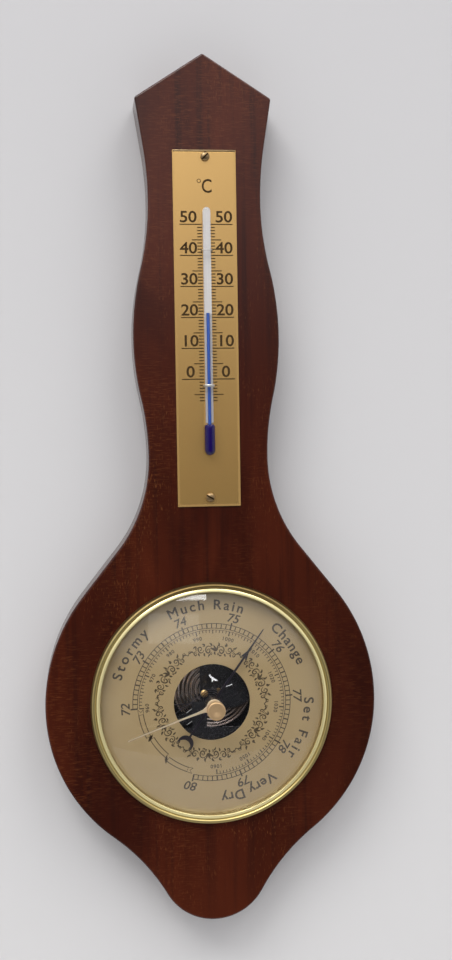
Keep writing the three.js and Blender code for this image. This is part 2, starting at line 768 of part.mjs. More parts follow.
place(onDial, 'case_drum', caseDrum(), zinc());
clipAngles.forEach((angle, i) => {
  place(onDial, `case_clip_${i + 1}`, aroundDial(caseClip(), angle), zinc());
  place(onDial, `case_clip_screw_${i + 1}`, aroundDial(backScrew(clipScrewShape), angle), steel());
});
place(onDial, 'bezel', bezel(), polishedBrass());
place(onDial, 'glass', glass(), clearGlass());
place(onDial, 'glass_spacer', glassSpacer(), polishedBrass());
place(onDial, 'dial', dial(), satinBrass());

// Movement: base plate and capsule
const adjusterBore = adjusterShankRadius + runGap;

function basePlate() {
  const bore = rod(adjusterBore, baseBack - overcut, baseFace + overcut, smallFacets, capsuleX, capsuleZ);
  return cut(rod(basePlateRadius, baseBack, baseFace, middleFacets), bore, ...baseScrews.map(baseScrewHole));
}

// One corrugated diaphragm, from its centre to its rim, as [radius, lift towards the rim] pairs.
function diaphragmLine(waves) {
  const ribbed = capsuleRadius - capsuleRimWidth - capsuleFlatRadius;
  const line = [];
  for (let i = 0; i <= 2 * waves; i += 1) {
    const share = i / (2 * waves);
    const ripple = i === 0 || i === 2 * waves ? 0 : (i % 2 ? 1 : -1) * corrugationDepth;
    line.push([capsuleFlatRadius + share * ribbed, share * capsuleHalfDepth + ripple]);
  }
  return [...line, [capsuleRadius, capsuleHalfDepth]];
}
const corrugations = Math.round((capsuleRadius - capsuleRimWidth - capsuleFlatRadius) / corrugationPitch);

function capsuleFront() {
  const outside = diaphragmLine(corrugations).map(([radius, lift]) => [radius, capsuleFrontFace - lift]);
  const inside = outside.map(([radius, height]) => [radius, height - diaphragm]);
  const profile = [[0, capsuleFrontFace], ...outside, ...inside.reverse(), [0, capsuleFrontFace - diaphragm]];
  return turned(profile, middleFacets, capsuleX, capsuleZ);
}

function capsuleBack() {
  const outside = diaphragmLine(hiddenCorrugations).map(([radius, lift]) => [radius, capsuleBackFace + lift]);
  const inside = outside.map(([radius, height]) => [radius, height + diaphragm]).reverse();
  const foot = baseFace + seatGap;
  const bush = adjusterBore + adjusterSleeve;
  const boreEnd = baseFace + adjusterReach + runGap;
  return turned([
    [adjusterBore, foot], [bush, foot], [bush, capsuleBackFace], ...outside, ...inside,
    [bush, capsuleBackFace + diaphragm], [bush, boreEnd + diaphragm], [0, boreEnd + diaphragm], [0, boreEnd],
    [adjusterBore, boreEnd], [adjusterBore, foot],
  ], capsuleBackFacets, capsuleX, capsuleZ);
}

function capsulePost() {
  const nutTop = nutBase + nutHeight;
  return turned([
    [0, postBase], [postRadius, postBase], [postRadius, postTop], [postNeckRadius, postTop],
    [postNeckRadius, nutBase], [nutRadius, nutBase], [nutRadius, nutTop], [0, nutTop],
  ], smallFacets, capsuleX, capsuleZ);
}

function adjusterScrew() {
  const headTop = baseBack - seatGap;
  const shankTop = baseFace + adjusterReach;
  const blank = turned([
    [0, adjusterHeadBack], [adjusterHeadRadius, adjusterHeadBack], [adjusterHeadRadius, headTop],
    [adjusterShankRadius, headTop], [adjusterShankRadius, shankTop], [0, shankTop],
  ], bossFacets);
  const slot = new THREE.BoxGeometry(3 * adjusterHeadRadius, adjusterSlotDepth, adjusterSlotWidth)
    .translate(0, -adjusterHeadBack, 0);
  return cut(blank, slot).translate(capsuleX, 0, capsuleZ);
}

place(onDial, 'base_plate', basePlate(), blackLacquer());
baseScrews.forEach((shape, i) => place(onDial, `base_screw_${i + 1}`, baseScrew(shape), steel()));
place(onDial, 'adjusting_screw', adjusterScrew(), steel());
place(onDial, 'capsule_back', capsuleBack(), blackLacquer());
place(onDial, 'capsule_front', capsuleFront(), blackLacquer());
place(onDial, 'capsule_post', capsulePost(), polishedBrass());

// Movement: leaf spring on its bridge, with the lever arm
const leafRight = leafHinge + leafClampLength;
const tongueTop = 2 * capsuleZ - leafBottom;
const bridgeScrews = {
  bridge_screw_upper: capsuleZ + bridgeScrewSpacing / 2,
  bridge_screw_lower: capsuleZ - bridgeScrewSpacing / 2,
};
function bridgeScrewAt(z) {
  return {
    x: leafHinge + bridgeScrewPlace * leafClampLength, z, level: leafFace + seatGap,
    head: bridgeScrewHead, rise: bridgeScrewRise, shank: smallScrewShank,
    length: leafThickness + bridgeScrewReach,
  };
}

function springBridge() {
  const block = bar(leafHinge, leafRight, leafBottom, tongueTop, baseFace + seatGap, leafBack - seatGap);
  return cut(block, ...Object.values(bridgeScrews).map((z) => screwHole(bridgeScrewAt(z))));
}

function mainspring() {
  const shape = roundedPlate(leafLeft, leafHinge, leafBottom, leafTop, leafCorner);
  const leaf = stamped(shape, leafBack, leafFace, 3);
  const tongue = bar(leafHinge - tongueLap, leafRight, leafBottom, tongueTop, leafBack, leafFace);
  const drillLow = leafBack - overcut;
  const drillHigh = leafFace + overcut;
  const drill = (radius, x, z) => rod(radius + seatGap, drillLow, drillHigh, smallFacets, x, z);
  return cut(
    join(leaf, tongue),
    drill(postNeckRadius, capsuleX, capsuleZ),
    drill(smallScrewShank, armStudX, armStudZ),
    ...Object.values(bridgeScrews).map((z) => drill(smallScrewShank, bridgeScrewAt(z).x, z)),
  );
}

const linkX = rockerX - crankLength;
const armRun = new THREE.Vector2(linkX - armStudX, crankZ - armStudZ);

// Straight rod from the stud's collar to the link, with a flat eye at each end.
function leverArm() {
  const length = armRun.length();
  const low = armLevel - armRadius;
  const high = armLevel + armRadius;
  const bore = smallScrewShank + seatGap;
  const collar = turned([
    [bore, low], [armStudRadius, low], [armStudRadius, high], [bore, high], [bore, low],
  ], smallFacets);
  const start = (bore + armStudRadius) / 2;
  const run = new THREE.CylinderGeometry(armRadius, armRadius, length - start, smallFacets)
    .rotateZ(Math.PI / 2)
    .translate((length + start) / 2, -armLevel, 0);
  const eye = rod(2 * armRadius, low, high, smallFacets, length, 0);
  const heading = Math.atan2(armRun.y, armRun.x);
  return join(collar, run, eye).rotateY(-heading).translate(armStudX, 0, armStudZ);
}

function armStud() {
  const top = armLevel + armRadius + seatGap;
  return screw({
    x: armStudX, z: armStudZ, level: top, head: armStudRadius, rise: studRise, shank: smallScrewShank,
    length: top - leafBack, slotAngle: studSlotAngle,
  });
}

place(onDial, 'spring_bridge', springBridge(), blackLacquer());
place(onDial, 'mainspring', mainspring(), blackLacquer());
for (const [name, z] of Object.entries(bridgeScrews)) {
  place(onDial, name, screw(bridgeScrewAt(z)), steel());
}
place(onDial, 'lever_arm', leverArm(), steel());
place(onDial, 'lever_stud', armStud(), polishedBrass());

// Movement: rocking shaft in its bracket, with the link from the lever arm and the chain to the arbor
const chainRadius = pulleyRadius + seatGap + chainThickness / 2;

function shaftBracket() {
  const low = baseFace + seatGap;
  const left = rockerX - bracketWidth / 2;
  const right = rockerX + bracketWidth / 2;
  const foot = bar(left, right, bracketLow, bracketHigh, low, low + bracketThickness);
  const ear = (z) => bar(left, right, z, z + bracketThickness, low, rockerLevel + rockerRadius + bracketLip);
  const pivotRadius = rockerPivotRadius + runGap;
  const pivotRun = 3 * (bracketHigh - bracketLow);
  const pivots = new THREE.CylinderGeometry(pivotRadius, pivotRadius, pivotRun, smallFacets)
    .rotateX(Math.PI / 2)
    .translate(rockerX, -rockerLevel, 0);
  return cut(join(foot, ear(bracketLow), ear(bracketHigh - bracketThickness)), pivots);
}

function rockingShaft() {
  const low = bracketLow + bracketThickness + runGap;
  const high = bracketHigh - bracketThickness - runGap;
  const pivotReach = bracketThickness + runGap;
  const shaft = turnedUpright([
    [0, low - pivotReach], [rockerPivotRadius, low - pivotReach], [rockerPivotRadius, low],
    [rockerRadius, low], [rockerRadius, high], [rockerPivotRadius, high],
    [rockerPivotRadius, high + pivotReach], [0, high + pivotReach],
  ], smallFacets).translate(rockerX, -rockerLevel, 0);
  const arm = bar(rockerX - rockerArmHalf, rockerX + rockerArmHalf, -chainRadius - rockerArmDepth,
    -chainRadius + rockerArmDepth, rockerLevel, chainLevel + rockerArmHalf);
  const crank = bar(linkX - rockerArmHalf, rockerX, crankZ - crankHalf, crankZ + crankHalf,
    rockerLevel - crankHalf, rockerLevel + crankHalf);
  return join(shaft, arm, crank);
}

function link() {
  const low = rockerLevel + crankHalf + seatGap;
  const high = armLevel - armRadius - seatGap;
  return rod(linkRadius, low, high, smallFacets, linkX, crankZ);
}

// Chain of round-ended links, from the rocking arm to the arbor and half way round its drum.
function chain() {
  const start = rockerX + rockerArmHalf + seatGap;
  const straight = -start;
  const wrap = Math.PI * chainRadius;
  const narrowing = [0.3, 0.5, 0.5]; // half width over thickness, at the points of one link
  const count = Math.round((straight + wrap) / (chainPitch / narrowing.length));
  const centres = Array.from({ length: count + 1 }, (_, i) => {
    const run = ((straight + wrap) * i) / count;
    if (run <= straight) return new THREE.Vector2(start + run, -chainRadius);
    const angle = (run - straight) / chainRadius - Math.PI / 2;
    return new THREE.Vector2(chainRadius * Math.cos(angle), chainRadius * Math.sin(angle));
  });
  const outline = strip(centres, (i) => narrowing[i % narrowing.length] * chainThickness);
  return stamped(outline, chainLevel - chainHeight / 2, chainLevel + chainHeight / 2);
}

place(onDial, 'shaft_bracket', shaftBracket(), satinBrass());
place(onDial, 'rocking_shaft', rockingShaft(), steel());
place(onDial, 'link', link(), steel());
place(onDial, 'chain', chain(), steel());

// Movement: cock with the arbor's two bearings, on its pillars, and the hairspring
const cockFrontFace = cockFrontHeight + cockThickness;
const pillarTop = cockFrontHeight - seatGap;
function cockScrewAt(x) {
  return {
    x, z: pillarZ, level: cockFrontFace, head: cockScrewHead, rise: cockThickness, shank: smallScrewShank,
    length: cockScrewLength, sunk: true,
  };
}

function arborCock() {
  const plate = (left, bottom, boss, level) => join(
    bar(left, cockArmRight, bottom, 0, level, level + cockThickness),
    bar(cockArmRight - overcut, 0, -boss, 0, level, level + cockThickness),
    rod(boss, level, level + cockThickness, bossFacets),
  );
  const rearLeft = cockArmRight - cockRearArmWidth;
  const front = join(
    plate(cockArmLeft, cockBarTop - overcut, cockBossRadius, cockFrontHeight),
    bar(-cockBarHalf, cockBarHalf, cockBarBottom, cockBarTop, cockFrontHeight, cockFrontFace),
  );
  const rear = plate(rearLeft, cockBarTop, cockRearBossRadius, cockBackHeight);
  const webTop = cockBarTop + cockThickness;
  const web = bar(rearLeft, cockArmRight, cockBarTop, webTop, cockBackHeight, cockFrontFace);
  const bearing = rod(arborRadius + runGap, cockBackHeight - overcut, cockFrontFace + overcut);
  const screwHoles = [-pillarX, pillarX].map((x) => screwHole(cockScrewAt(x)));
  return cut(join(front, rear, web), bearing, ...screwHoles);
}

function pillar(x) {
  const post = rod(pillarRadius, baseFace + seatGap, pillarTop, smallFacets, x, pillarZ);
  return cut(post, screwHole(cockScrewAt(x)));
}

const springOuter = springInner + springTurns * springPitch;
const springLow = chainLevel + chainHeight / 2 + seatGap;

function hairspring() {
  const count = springTurns * springPointsPerTurn;
  const centres = Array.from({ length: count + 1 }, (_, i) => {
    const turn = i / springPointsPerTurn;
    const radius = springInner + springPitch * turn;
    const angle = turn * 2 * Math.PI + springEndAngle * degrees;
    return new THREE.Vector2(radius * Math.cos(angle), radius * Math.sin(angle));
  });
  let least = Infinity;
  centres.forEach((a, i) => centres.forEach((b, k) => {
    if (k - i > springPointsPerTurn / 2) least = Math.min(least, a.distanceTo(b) - springThickness);
  }));
  console.log(`hairspring: least gap between turns ${least.toFixed(2)} mm`);
  return stamped(strip(centres, () => springThickness / 2), springLow, springLow + springHeight);
}

function hairspringStud() {
  const reach = springOuter + springThickness / 2 + seatGap + springStudRadius;
  return rod(springStudRadius, springLow, cockFrontHeight - seatGap, smallFacets,
    reach * Math.cos(springEndAngle * degrees), reach * Math.sin(springEndAngle * degrees));
}

// Arbor, with the chain's drum, the hairspring's collet and the collar that carries the pointer.
function pointerArbor() {
  const rearEnd = cockBackHeight - arborEnd;
  const drumLow = cockBackHeight + cockThickness + runGap;
  const colletLow = chainLevel + chainHeight / 2 + seatGap / 2;
  const colletHigh = springLow + springHeight;
  const colletRadius = springInner - springThickness / 2 - seatGap;
  const collarLow = cockFrontFace + runGap;
  const collarHigh = pointerLevel - seatGap;
  const end = pointerLevel + pointerThickness + arborTip;
  return turned([
    [0, rearEnd], [arborRadius, rearEnd], [arborRadius, drumLow], [pulleyRadius, drumLow],
    [pulleyRadius, colletLow], [colletRadius, colletLow], [colletRadius, colletHigh], [arborRadius, colletHigh],
    [arborRadius, collarLow], [collarRadius, collarLow], [collarRadius, collarHigh], [arborRadius, collarHigh],
    [arborRadius, end], [0, end],
  ], bossFacets);
}

place(onDial, 'arbor_cock', arborCock(), blackLacquer());
place(onDial, 'cock_pillar_left', pillar(-pillarX), blackLacquer());
place(onDial, 'cock_pillar_right', pillar(pillarX), blackLacquer());
place(onDial, 'cock_screw_left', screw(cockScrewAt(-pillarX)), steel());
place(onDial, 'cock_screw_right', screw(cockScrewAt(pillarX)), steel());
place(onDial, 'hairspring', hairspring(), steel());
place(onDial, 'hairspring_stud', hairspringStud(), polishedBrass());
place(onDial, 'pointer_arbor', pointerArbor(), steel());

// Hands. Each is made pointing up and then turned to where it stands.
function pointer() {
  const half = pointerHalfWidth;
  const low = pointerLevel;
  const high = pointerLevel + pointerThickness;
  const rightEdge = [
    [half, -pointerTail - crescentThickness / 2], [pointerRoot * half, 0], [half, arrowRadius + arrowHalf / 2],
    [arrowHalf, arrowRadius], [half, arrowRadius + arrowLength], [half / 2, pointerLength - pointerPoint],
  ];
  const leftEdge = rightEdge.map(([x, z]) => [-x, z]).reverse();
  const needle = stamped(polygon([...rightEdge, [0, pointerLength], ...leftEdge]), low, high);
  const moonZ = -pointerTail - crescentRadius;
  const moon = rod(crescentRadius, low, high, knobFacets, 0, moonZ);
  const bite = rod(crescentRadius - crescentLip, low - overcut, high + overcut, knobFacets, 0,
    moonZ - crescentThickness + crescentLip);
  const hub = rod(pointerHubRadius, low, high, bossFacets);
  const bore = rod(arborRadius + seatGap, low - overcut, high + overcut);
  return cut(join(needle, cut(moon, bite), hub), bore);
}

const underGlass = glassTop - glassThickness;
const hubHigh = underGlass - domeDrop(setHandHubRadius) - runGap;
const hubLow = hubHigh - setHandThickness;

function setHand() {
  const droop = Math.atan2(setHandDroop, setHandLength - setHandHubRadius);
  const root = setHandHubRadius - bladeRoot;
  const leftEdge = bladeProfile.map(([x, z]) => [-x, z]).reverse();
  const blade = stamped(polygon([...bladeProfile, ...leftEdge]), 0, bladeThickness)
    .translate(0, 0, -root)
    .rotateX(-droop)
    .translate(0, -hubLow, root);
  const hub = turned([
    [0, hubLow], [setHandHubRadius - setHandHubArris, hubLow], [setHandHubRadius, hubLow + setHandHubArris / 2],
    [setHandHubRadius, hubHigh], [0, hubHigh],
  ], knobFacets);
  const bore = rod(spindleRadius + seatGap, hubLow - overcut, hubHigh + overcut);
  return cut(join(hub, blade), bore);
}

const washerLow = glassTop + runGap;
const knobLow = washerLow + washerThickness + seatGap;

// Knob outside the glass, with the spindle that carries the set hand inside it.
function knob() {
  const face = knobLow + knobHeight;
  const end = hubLow - spindleTip;
  const neck = knobNeck * knobRadius;
  return turned([
    [0, end], [spindleRadius, end], [spindleRadius, knobLow], [neck, knobLow],
    [neck, knobLow + knobNeckRise * knobHeight], [knobRadius, knobLow + knobFlare * knobHeight],
    [knobRadius, face - knobArris], [knobRadius - knobArris, face], [0, face],
  ], knobFacets);
}

function knobWasher() {
  const inner = spindleRadius + seatGap;
  const high = washerLow + washerThickness;
  return turned([
    [inner, washerLow], [washerRadius, washerLow], [washerRadius, high], [inner, high], [inner, washerLow],
  ], bossFacets);
}

place(onDial, 'pointer', pointer(), blueSteel()).rotation.y = pointerAngle * degrees;
place(onDial, 'set_hand', setHand(), polishedBrass()).rotation.y = setHandAngle * degrees;
place(onDial, 'set_hand_knob', knob(), polishedBrass());
place(onDial, 'knob_washer', knobWasher(), polishedBrass());

export default barometer;
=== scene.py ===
# %% [markdown]
# # A banjo-shaped wall barometer
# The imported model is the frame: every piece already has its size and its place. This lesson dresses it.
# Pieces that show are modelled again with more detail, and the rest keep their form with eased edges.
# Lengths are in millimetres from the dial's axis: x to the right, z up, and height out from the wall.

# %% Load the frame
import json
import math

import bmesh
import bpy
from mathutils import Matrix, Vector

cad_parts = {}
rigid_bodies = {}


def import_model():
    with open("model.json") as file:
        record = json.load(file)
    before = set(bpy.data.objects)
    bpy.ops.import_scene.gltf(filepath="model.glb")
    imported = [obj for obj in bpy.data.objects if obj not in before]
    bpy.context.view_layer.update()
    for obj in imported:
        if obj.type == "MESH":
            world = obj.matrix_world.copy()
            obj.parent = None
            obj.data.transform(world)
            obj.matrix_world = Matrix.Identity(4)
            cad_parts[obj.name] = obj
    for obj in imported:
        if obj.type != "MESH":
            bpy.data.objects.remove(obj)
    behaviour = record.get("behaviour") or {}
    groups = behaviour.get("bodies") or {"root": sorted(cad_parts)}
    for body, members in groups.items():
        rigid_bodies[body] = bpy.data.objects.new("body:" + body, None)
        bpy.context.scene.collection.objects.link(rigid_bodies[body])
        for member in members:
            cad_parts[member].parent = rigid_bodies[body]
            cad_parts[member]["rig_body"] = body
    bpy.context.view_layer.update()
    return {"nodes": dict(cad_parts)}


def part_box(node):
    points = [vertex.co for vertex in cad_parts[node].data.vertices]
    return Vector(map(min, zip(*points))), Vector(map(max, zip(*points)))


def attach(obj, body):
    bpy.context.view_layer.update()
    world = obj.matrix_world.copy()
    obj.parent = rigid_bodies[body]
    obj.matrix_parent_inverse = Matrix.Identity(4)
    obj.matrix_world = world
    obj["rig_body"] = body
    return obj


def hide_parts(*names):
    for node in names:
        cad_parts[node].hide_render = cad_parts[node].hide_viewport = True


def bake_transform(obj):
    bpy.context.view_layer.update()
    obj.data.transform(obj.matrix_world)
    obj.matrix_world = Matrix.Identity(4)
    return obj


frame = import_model()
scene = bpy.context.scene
MM = 0.001

dial_low, dial_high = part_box("dial")
DIAL_Z = (dial_low.z + dial_high.z) / 2
print("dial axis at", round(DIAL_Z / MM, 2), "mm; nodes:", len(frame["nodes"]))


def at(x, z, height=0.0):
    """A place in metres, from millimetres."""
    return Vector((x * MM, -height * MM, DIAL_Z + z * MM))


def polar(radius, clock):
    """x and z of a point at a radius, with its angle in degrees clockwise from the top."""
    turn = math.radians(clock)
    return radius * math.sin(turn), radius * math.cos(turn)


def linked(name, data):
    """An object for a camera, a lamp, a mesh or a text, placed in the scene."""
    made = bpy.data.objects.new(name, data)
    scene.collection.objects.link(made)
    return made


# %% [markdown]
# The camera stands where the photographer stood: nearly straight in front of the dial's left edge and a
# hand's length above the dial's middle, so that the board's left side can be seen. Its place and its
# axes were worked out from the plate's corners and the bezel's circle.

# %% Camera
LENS = 46.875
SENSOR = 36.0
CAMERA_PLACE = (-0.06835, -0.69446, -0.16858)
CAMERA_RIGHT = Vector((0.99317619, -0.11559742, -0.01543705))
CAMERA_UP = Vector((0.01997842, 0.03823101, 0.99906919))
CAMERA_WAY = Vector((0.11489964, 0.99256014, -0.04027958))
camera_data = bpy.data.cameras.new("camera")
camera_data.lens = LENS
camera_data.sensor_width = SENSOR
camera_data.clip_start = 0.02
camera_data.clip_end = 20
camera = linked("camera", camera_data)
axes = Matrix((CAMERA_RIGHT, CAMERA_UP, -CAMERA_WAY)).transposed().to_4x4()
camera.matrix_world = Matrix.Translation(CAMERA_PLACE) @ axes
scene.camera = camera
print("camera:", round(-CAMERA_PLACE[1], 3), "m in front of the wall")

# %% [markdown]
# The world and every material are trees of nodes. A few helpers keep them short: one adds a node and feeds
# its inputs, and the others add what is needed again and again, which is a mix of colours, a value spread
# over a new range, and noise. Each of these gives back the output that the next node takes.

# %% Node helpers


def feed(tree, made, inputs):
    """Sets a node's inputs, each to a value or to another node's output."""
    for name, value in inputs.items():
        if isinstance(value, bpy.types.NodeSocket):
            tree.links.new(value, made.inputs[name])
        else:
            made.inputs[name].default_value = value


def node(tree, kind, inputs=None, **settings):
    """Adds a node with its settings and its inputs."""
    made = tree.nodes.new(kind)
    for name, value in settings.items():
        setattr(made, name, value)
    feed(tree, made, inputs or {})
    return made


def mixed(tree, factor, below, above, way="MIX"):
    """A colour between two others, or the lighter of both."""
    return node(tree, "ShaderNodeMix", {
        "Factor": factor, "A": below, "B": above,
    }, data_type="RGBA", blend_type=way).outputs["Result"]


def ranged(tree, value, low, high, top=1.0):
    """A value spread from 0 to a top between two limits."""
    return node(tree, "ShaderNodeMapRange", {
        "Value": value, "From Min": low, "From Max": high, "To Max": top,
    }).outputs["Result"]


def multiplied(tree, value, factor, plus=0.0):
    """A value times another, with a third one added."""
    return node(tree, "ShaderNodeMath", {0: value, 1: factor, 2: plus}, operation="MULTIPLY_ADD").outputs[0]


def object_place(tree):
    """The object's own coordinates, so that a pattern stays on the piece when it moves."""
    return node(tree, "ShaderNodeTexCoord").outputs["Object"]


def axis_place(tree, axis):
    """One of the object's own coordinates."""
    return node(tree, "ShaderNodeSeparateXYZ", {0: object_place(tree)}).outputs[axis]


def noise(tree, scale, detail, rough=0.5, twist=0.0, stretch=None):
    """Noise on the piece, by one scale, or stretched by one scale for each axis."""
    place = object_place(tree)
    if stretch is not None:
        place = node(tree, "ShaderNodeMapping", {"Vector": place, "Scale": stretch}).outputs["Vector"]
    return node(tree, "ShaderNodeTexNoise", {
        "Vector": place, "Scale": scale, "Detail": detail, "Roughness": rough, "Distortion": twist,
    }).outputs["Fac"]


def new_finish(name):
    """A material with its tree and its Principled shader."""
    made = bpy.data.materials.new(name)
    made.use_nodes = True
    return made, made.node_tree, made.node_tree.nodes["Principled BSDF"]


def swap_shader(tree, base, factor, other):
    """Shows another shader in place of the Principled one as far as a factor says."""
    mix = node(tree, "ShaderNodeMixShader", {"Fac": factor, 1: base.outputs[0], 2: other.outputs[0]})
    tree.links.new(mix.outputs[0], tree.nodes["Material Output"].inputs["Surface"])


# %% [markdown]
# Light is a studio's. The world is pale above the horizon and dark straight in front, so that the flat
# varnish stays deep and clear at the body and picks up a soft veil towards the top. Its sides are half
# bright, for the polished rings to mirror. Wide lamps hang high, where no flat face mirrors them into
# the camera, and a small window and a soft panel are mirrored in the upper part of the glass. Behind the
# wall the world is bright again, for the views of the back.

# %% World and lamps
SKY = [
    (-1.0, 0.70), (-0.75, 0.60), (-0.40, 0.06), (-0.04, 0.05), (0.05, 0.15), (0.13, 0.48), (0.21, 0.78),
    (1.0, 0.85),
]
SIDES = [(-1.0, 0.60), (-0.62, 0.38), (-0.30, 0.03), (0.36, 0.03), (0.66, 0.30), (0.9, 0.70)]
BEHIND = [(-1.0, 0.0), (0.15, 0.0), (0.45, 0.75), (1.0, 0.85)]
world = bpy.data.worlds.new("studio")
scene.world = world
world.use_nodes = True
sky = world.node_tree
sky_way = node(sky, "ShaderNodeTexCoord").outputs["Generated"]
sky_parts = node(sky, "ShaderNodeSeparateXYZ", {0: sky_way}).outputs


def world_ramp(axis, stops):
    """Grey values along one axis of the view's direction."""
    ramp = node(sky, "ShaderNodeValToRGB", {"Fac": ranged(sky, sky_parts[axis], -1, 1)})
    for _ in stops[2:]:
        ramp.color_ramp.elements.new(0.5)
    for stop, (place, value) in zip(ramp.color_ramp.elements, stops):
        stop.position = (place + 1) / 2
        stop.color = (value, value * 0.995, value * 1.01, 1)
    return ramp.outputs["Color"]


lightest = world_ramp("Z", SKY)
for axis, stops in (("X", SIDES), ("Y", BEHIND)):
    lightest = mixed(sky, 1, lightest, world_ramp(axis, stops), "LIGHTEN")
feed(sky, sky.nodes["Background"], {"Color": lightest, "Strength": 1.0})

LAMP_AIM = Vector((0, 0, -0.2))
LAMP_COLOR = (1, 0.99, 0.97)


def lamp(name, azimuth, elevation, distance, width, height, power):
    """A soft rectangular lamp in front of the wall that looks at the barometer's middle."""
    side, rise = math.radians(azimuth), math.radians(elevation)
    way = Vector((math.sin(side) * math.cos(rise), -math.cos(side) * math.cos(rise), math.sin(rise)))
    data = bpy.data.lights.new(name, "AREA")
    data.shape = "RECTANGLE"
    data.size = width
    data.size_y = height
    data.energy = power
    data.color = LAMP_COLOR
    made = linked(name, data)
    made.location = LAMP_AIM + way * distance
    made.rotation_mode = "QUATERNION"
    made.rotation_quaternion = (-way).to_track_quat("-Z", "Y")


lamp("high_left", -32, 50, 4.0, 2.5, 1.6, 84)
lamp("high_right", 40, 53, 4.0, 2.2, 1.5, 37)
lamp("small_window", -2.7, 29.9, 2.6, 0.55, 0.11, 1.6)
lamp("soft_panel", -10.5, 17.2, 2.6, 0.95, 0.55, 1.15)
print("lamps:", len(bpy.data.lights))

# %% [markdown]
# The barometer hangs on a plain pale wall. The wall is a sheet that can be seen only from its front, so
# that views from behind look through it at the board's back. It is made below, with the board's outline.
# Its paint is a little lighter lower down, where less light falls. A floor lies far below.

# %% Wall and floor
WALL_HIGH = (0.61, 0.605, 0.62, 1)
WALL_LOW = (0.72, 0.715, 0.72, 1)
WALL_SHADE = (-0.45, 0.12)
FLOOR_PLACE = (0, -1.0, -1.6)
FLOOR_SIZE = (3, 1, 1, 1)


def make_wall_paint():
    """Matt paint in front, nothing behind."""
    paint, tree, base = new_finish("wall_paint")
    level = ranged(tree, axis_place(tree, "Z"), *WALL_SHADE)
    feed(tree, base, {
        "Base Color": mixed(tree, level, WALL_LOW, WALL_HIGH), "Roughness": 0.9, "Specular IOR Level": 0.2,
    })
    side = node(tree, "ShaderNodeNewGeometry").outputs["Backfacing"]
    swap_shader(tree, base, side, node(tree, "ShaderNodeBsdfTransparent"))
    return paint


def mesh_of(name, shape):
    """Ends a shape and gives its mesh."""
    mesh = bpy.data.meshes.new(name)
    shape.to_mesh(mesh)
    shape.free()
    return mesh


def stage_object(name, shape):
    """Makes a shape a part of the background."""
    sheet = linked(name, mesh_of(name, shape))
    sheet.data.materials.append(wall_paint)
    return sheet


wall_paint = make_wall_paint()
floor = bmesh.new()
floor_matrix = Matrix.Translation(FLOOR_PLACE) @ Matrix.Diagonal(FLOOR_SIZE)
bmesh.ops.create_grid(floor, x_segments=1, y_segments=1, size=1, matrix=floor_matrix)
stage_object("floor", floor).visible_glossy = False
print("floor at", FLOOR_PLACE[2], "m")

# %% [markdown]
# Materials come next. Two effects are used by many of them, so each is a node group: `patina` varies a
# metal's colour and roughness in soft clouds, and `fine_lines` gives the faint drawn lines of sheet metal.

# %% Groups for metal


def new_group(name, ins, outs):
    """An empty node group with named sockets, what it is given, and its output node."""
    tree = bpy.data.node_groups.new(name, "ShaderNodeTree")
    for label, kind, value in ins:
        made = tree.interface.new_socket(label, in_out="INPUT", socket_type=kind)
        made.default_value = value
    for label, kind in outs:
        tree.interface.new_socket(label, in_out="OUTPUT", socket_type=kind)
    return tree, tree.nodes.new("NodeGroupInput").outputs, tree.nodes.new("NodeGroupOutput")


def make_patina():
    """Clouds of tarnish over a metal's colour, with the roughness that goes with them."""
    tree, given, out = new_group(
        "patina",
        [
            ("Color", "NodeSocketColor", (0.7, 0.5, 0.2, 1)),
            ("Tarnish", "NodeSocketColor", (0.3, 0.2, 0.1, 1)),
            ("Scale", "NodeSocketFloat", 60.0),
            ("Amount", "NodeSocketFloat", 0.3),
            ("Roughness", "NodeSocketFloat", 0.3),
        ],
        [("Color", "NodeSocketColor"), ("Roughness", "NodeSocketFloat")],
    )
    mask = ranged(tree, noise(tree, given["Scale"], 5.0, 0.65), 0.42, 0.72, given["Amount"])
    feed(tree, out, {
        "Color": mixed(tree, mask, given["Color"], given["Tarnish"]),
        "Roughness": multiplied(tree, mask, 0.5, given["Roughness"]),
    })
    return tree


def make_fine_lines():
    """Faint parallel lines along one direction, as a height."""
    stretch = ("Stretch", "NodeSocketVector", (2500.0, 2500.0, 60.0))
    tree, given, out = new_group("fine_lines", [stretch], [("Height", "NodeSocketFloat")])
    feed(tree, out, {"Height": noise(tree, 1.0, 3.0, stretch=given["Stretch"])})
    return tree


patina = make_patina()
fine_lines = make_fine_lines()


def bump(tree, base, height, distance, strength=1.0):
    """Feeds a height to a shader's normal; distance in millimetres."""
    made = node(tree, "ShaderNodeBump", {"Height": height, "Distance": distance * MM, "Strength": strength})
    feed(tree, base, {"Normal": made.outputs["Normal"]})


def metal(name, color, tarnish, scale, amount, roughness, metallic=1.0, stretch=None, relief=0.004):
    """A metal with patina and, where it is drawn or brushed, its fine lines."""
    made, tree, base = new_finish(name)
    age = node(tree, "ShaderNodeGroup", {
        "Color": (*color, 1), "Tarnish": (*tarnish, 1), "Scale": scale, "Amount": amount,
        "Roughness": roughness,
    }, node_tree=patina).outputs
    feed(tree, base, {"Metallic": metallic, "Base Color": age["Color"], "Roughness": age["Roughness"]})
    if stretch:
        lines = node(tree, "ShaderNodeGroup", {"Stretch": stretch}, node_tree=fine_lines)
        bump(tree, base, lines.outputs["Height"], relief)
    return made


print("groups:", [group.name for group in bpy.data.node_groups])

# %% [markdown]
# Each metal is one call: its colour, its tarnish, the clouds' scale and amount, and how rough it is.
# Lacquered, blued and brushed metal mirrors less than bare metal does, so it is only partly metallic.

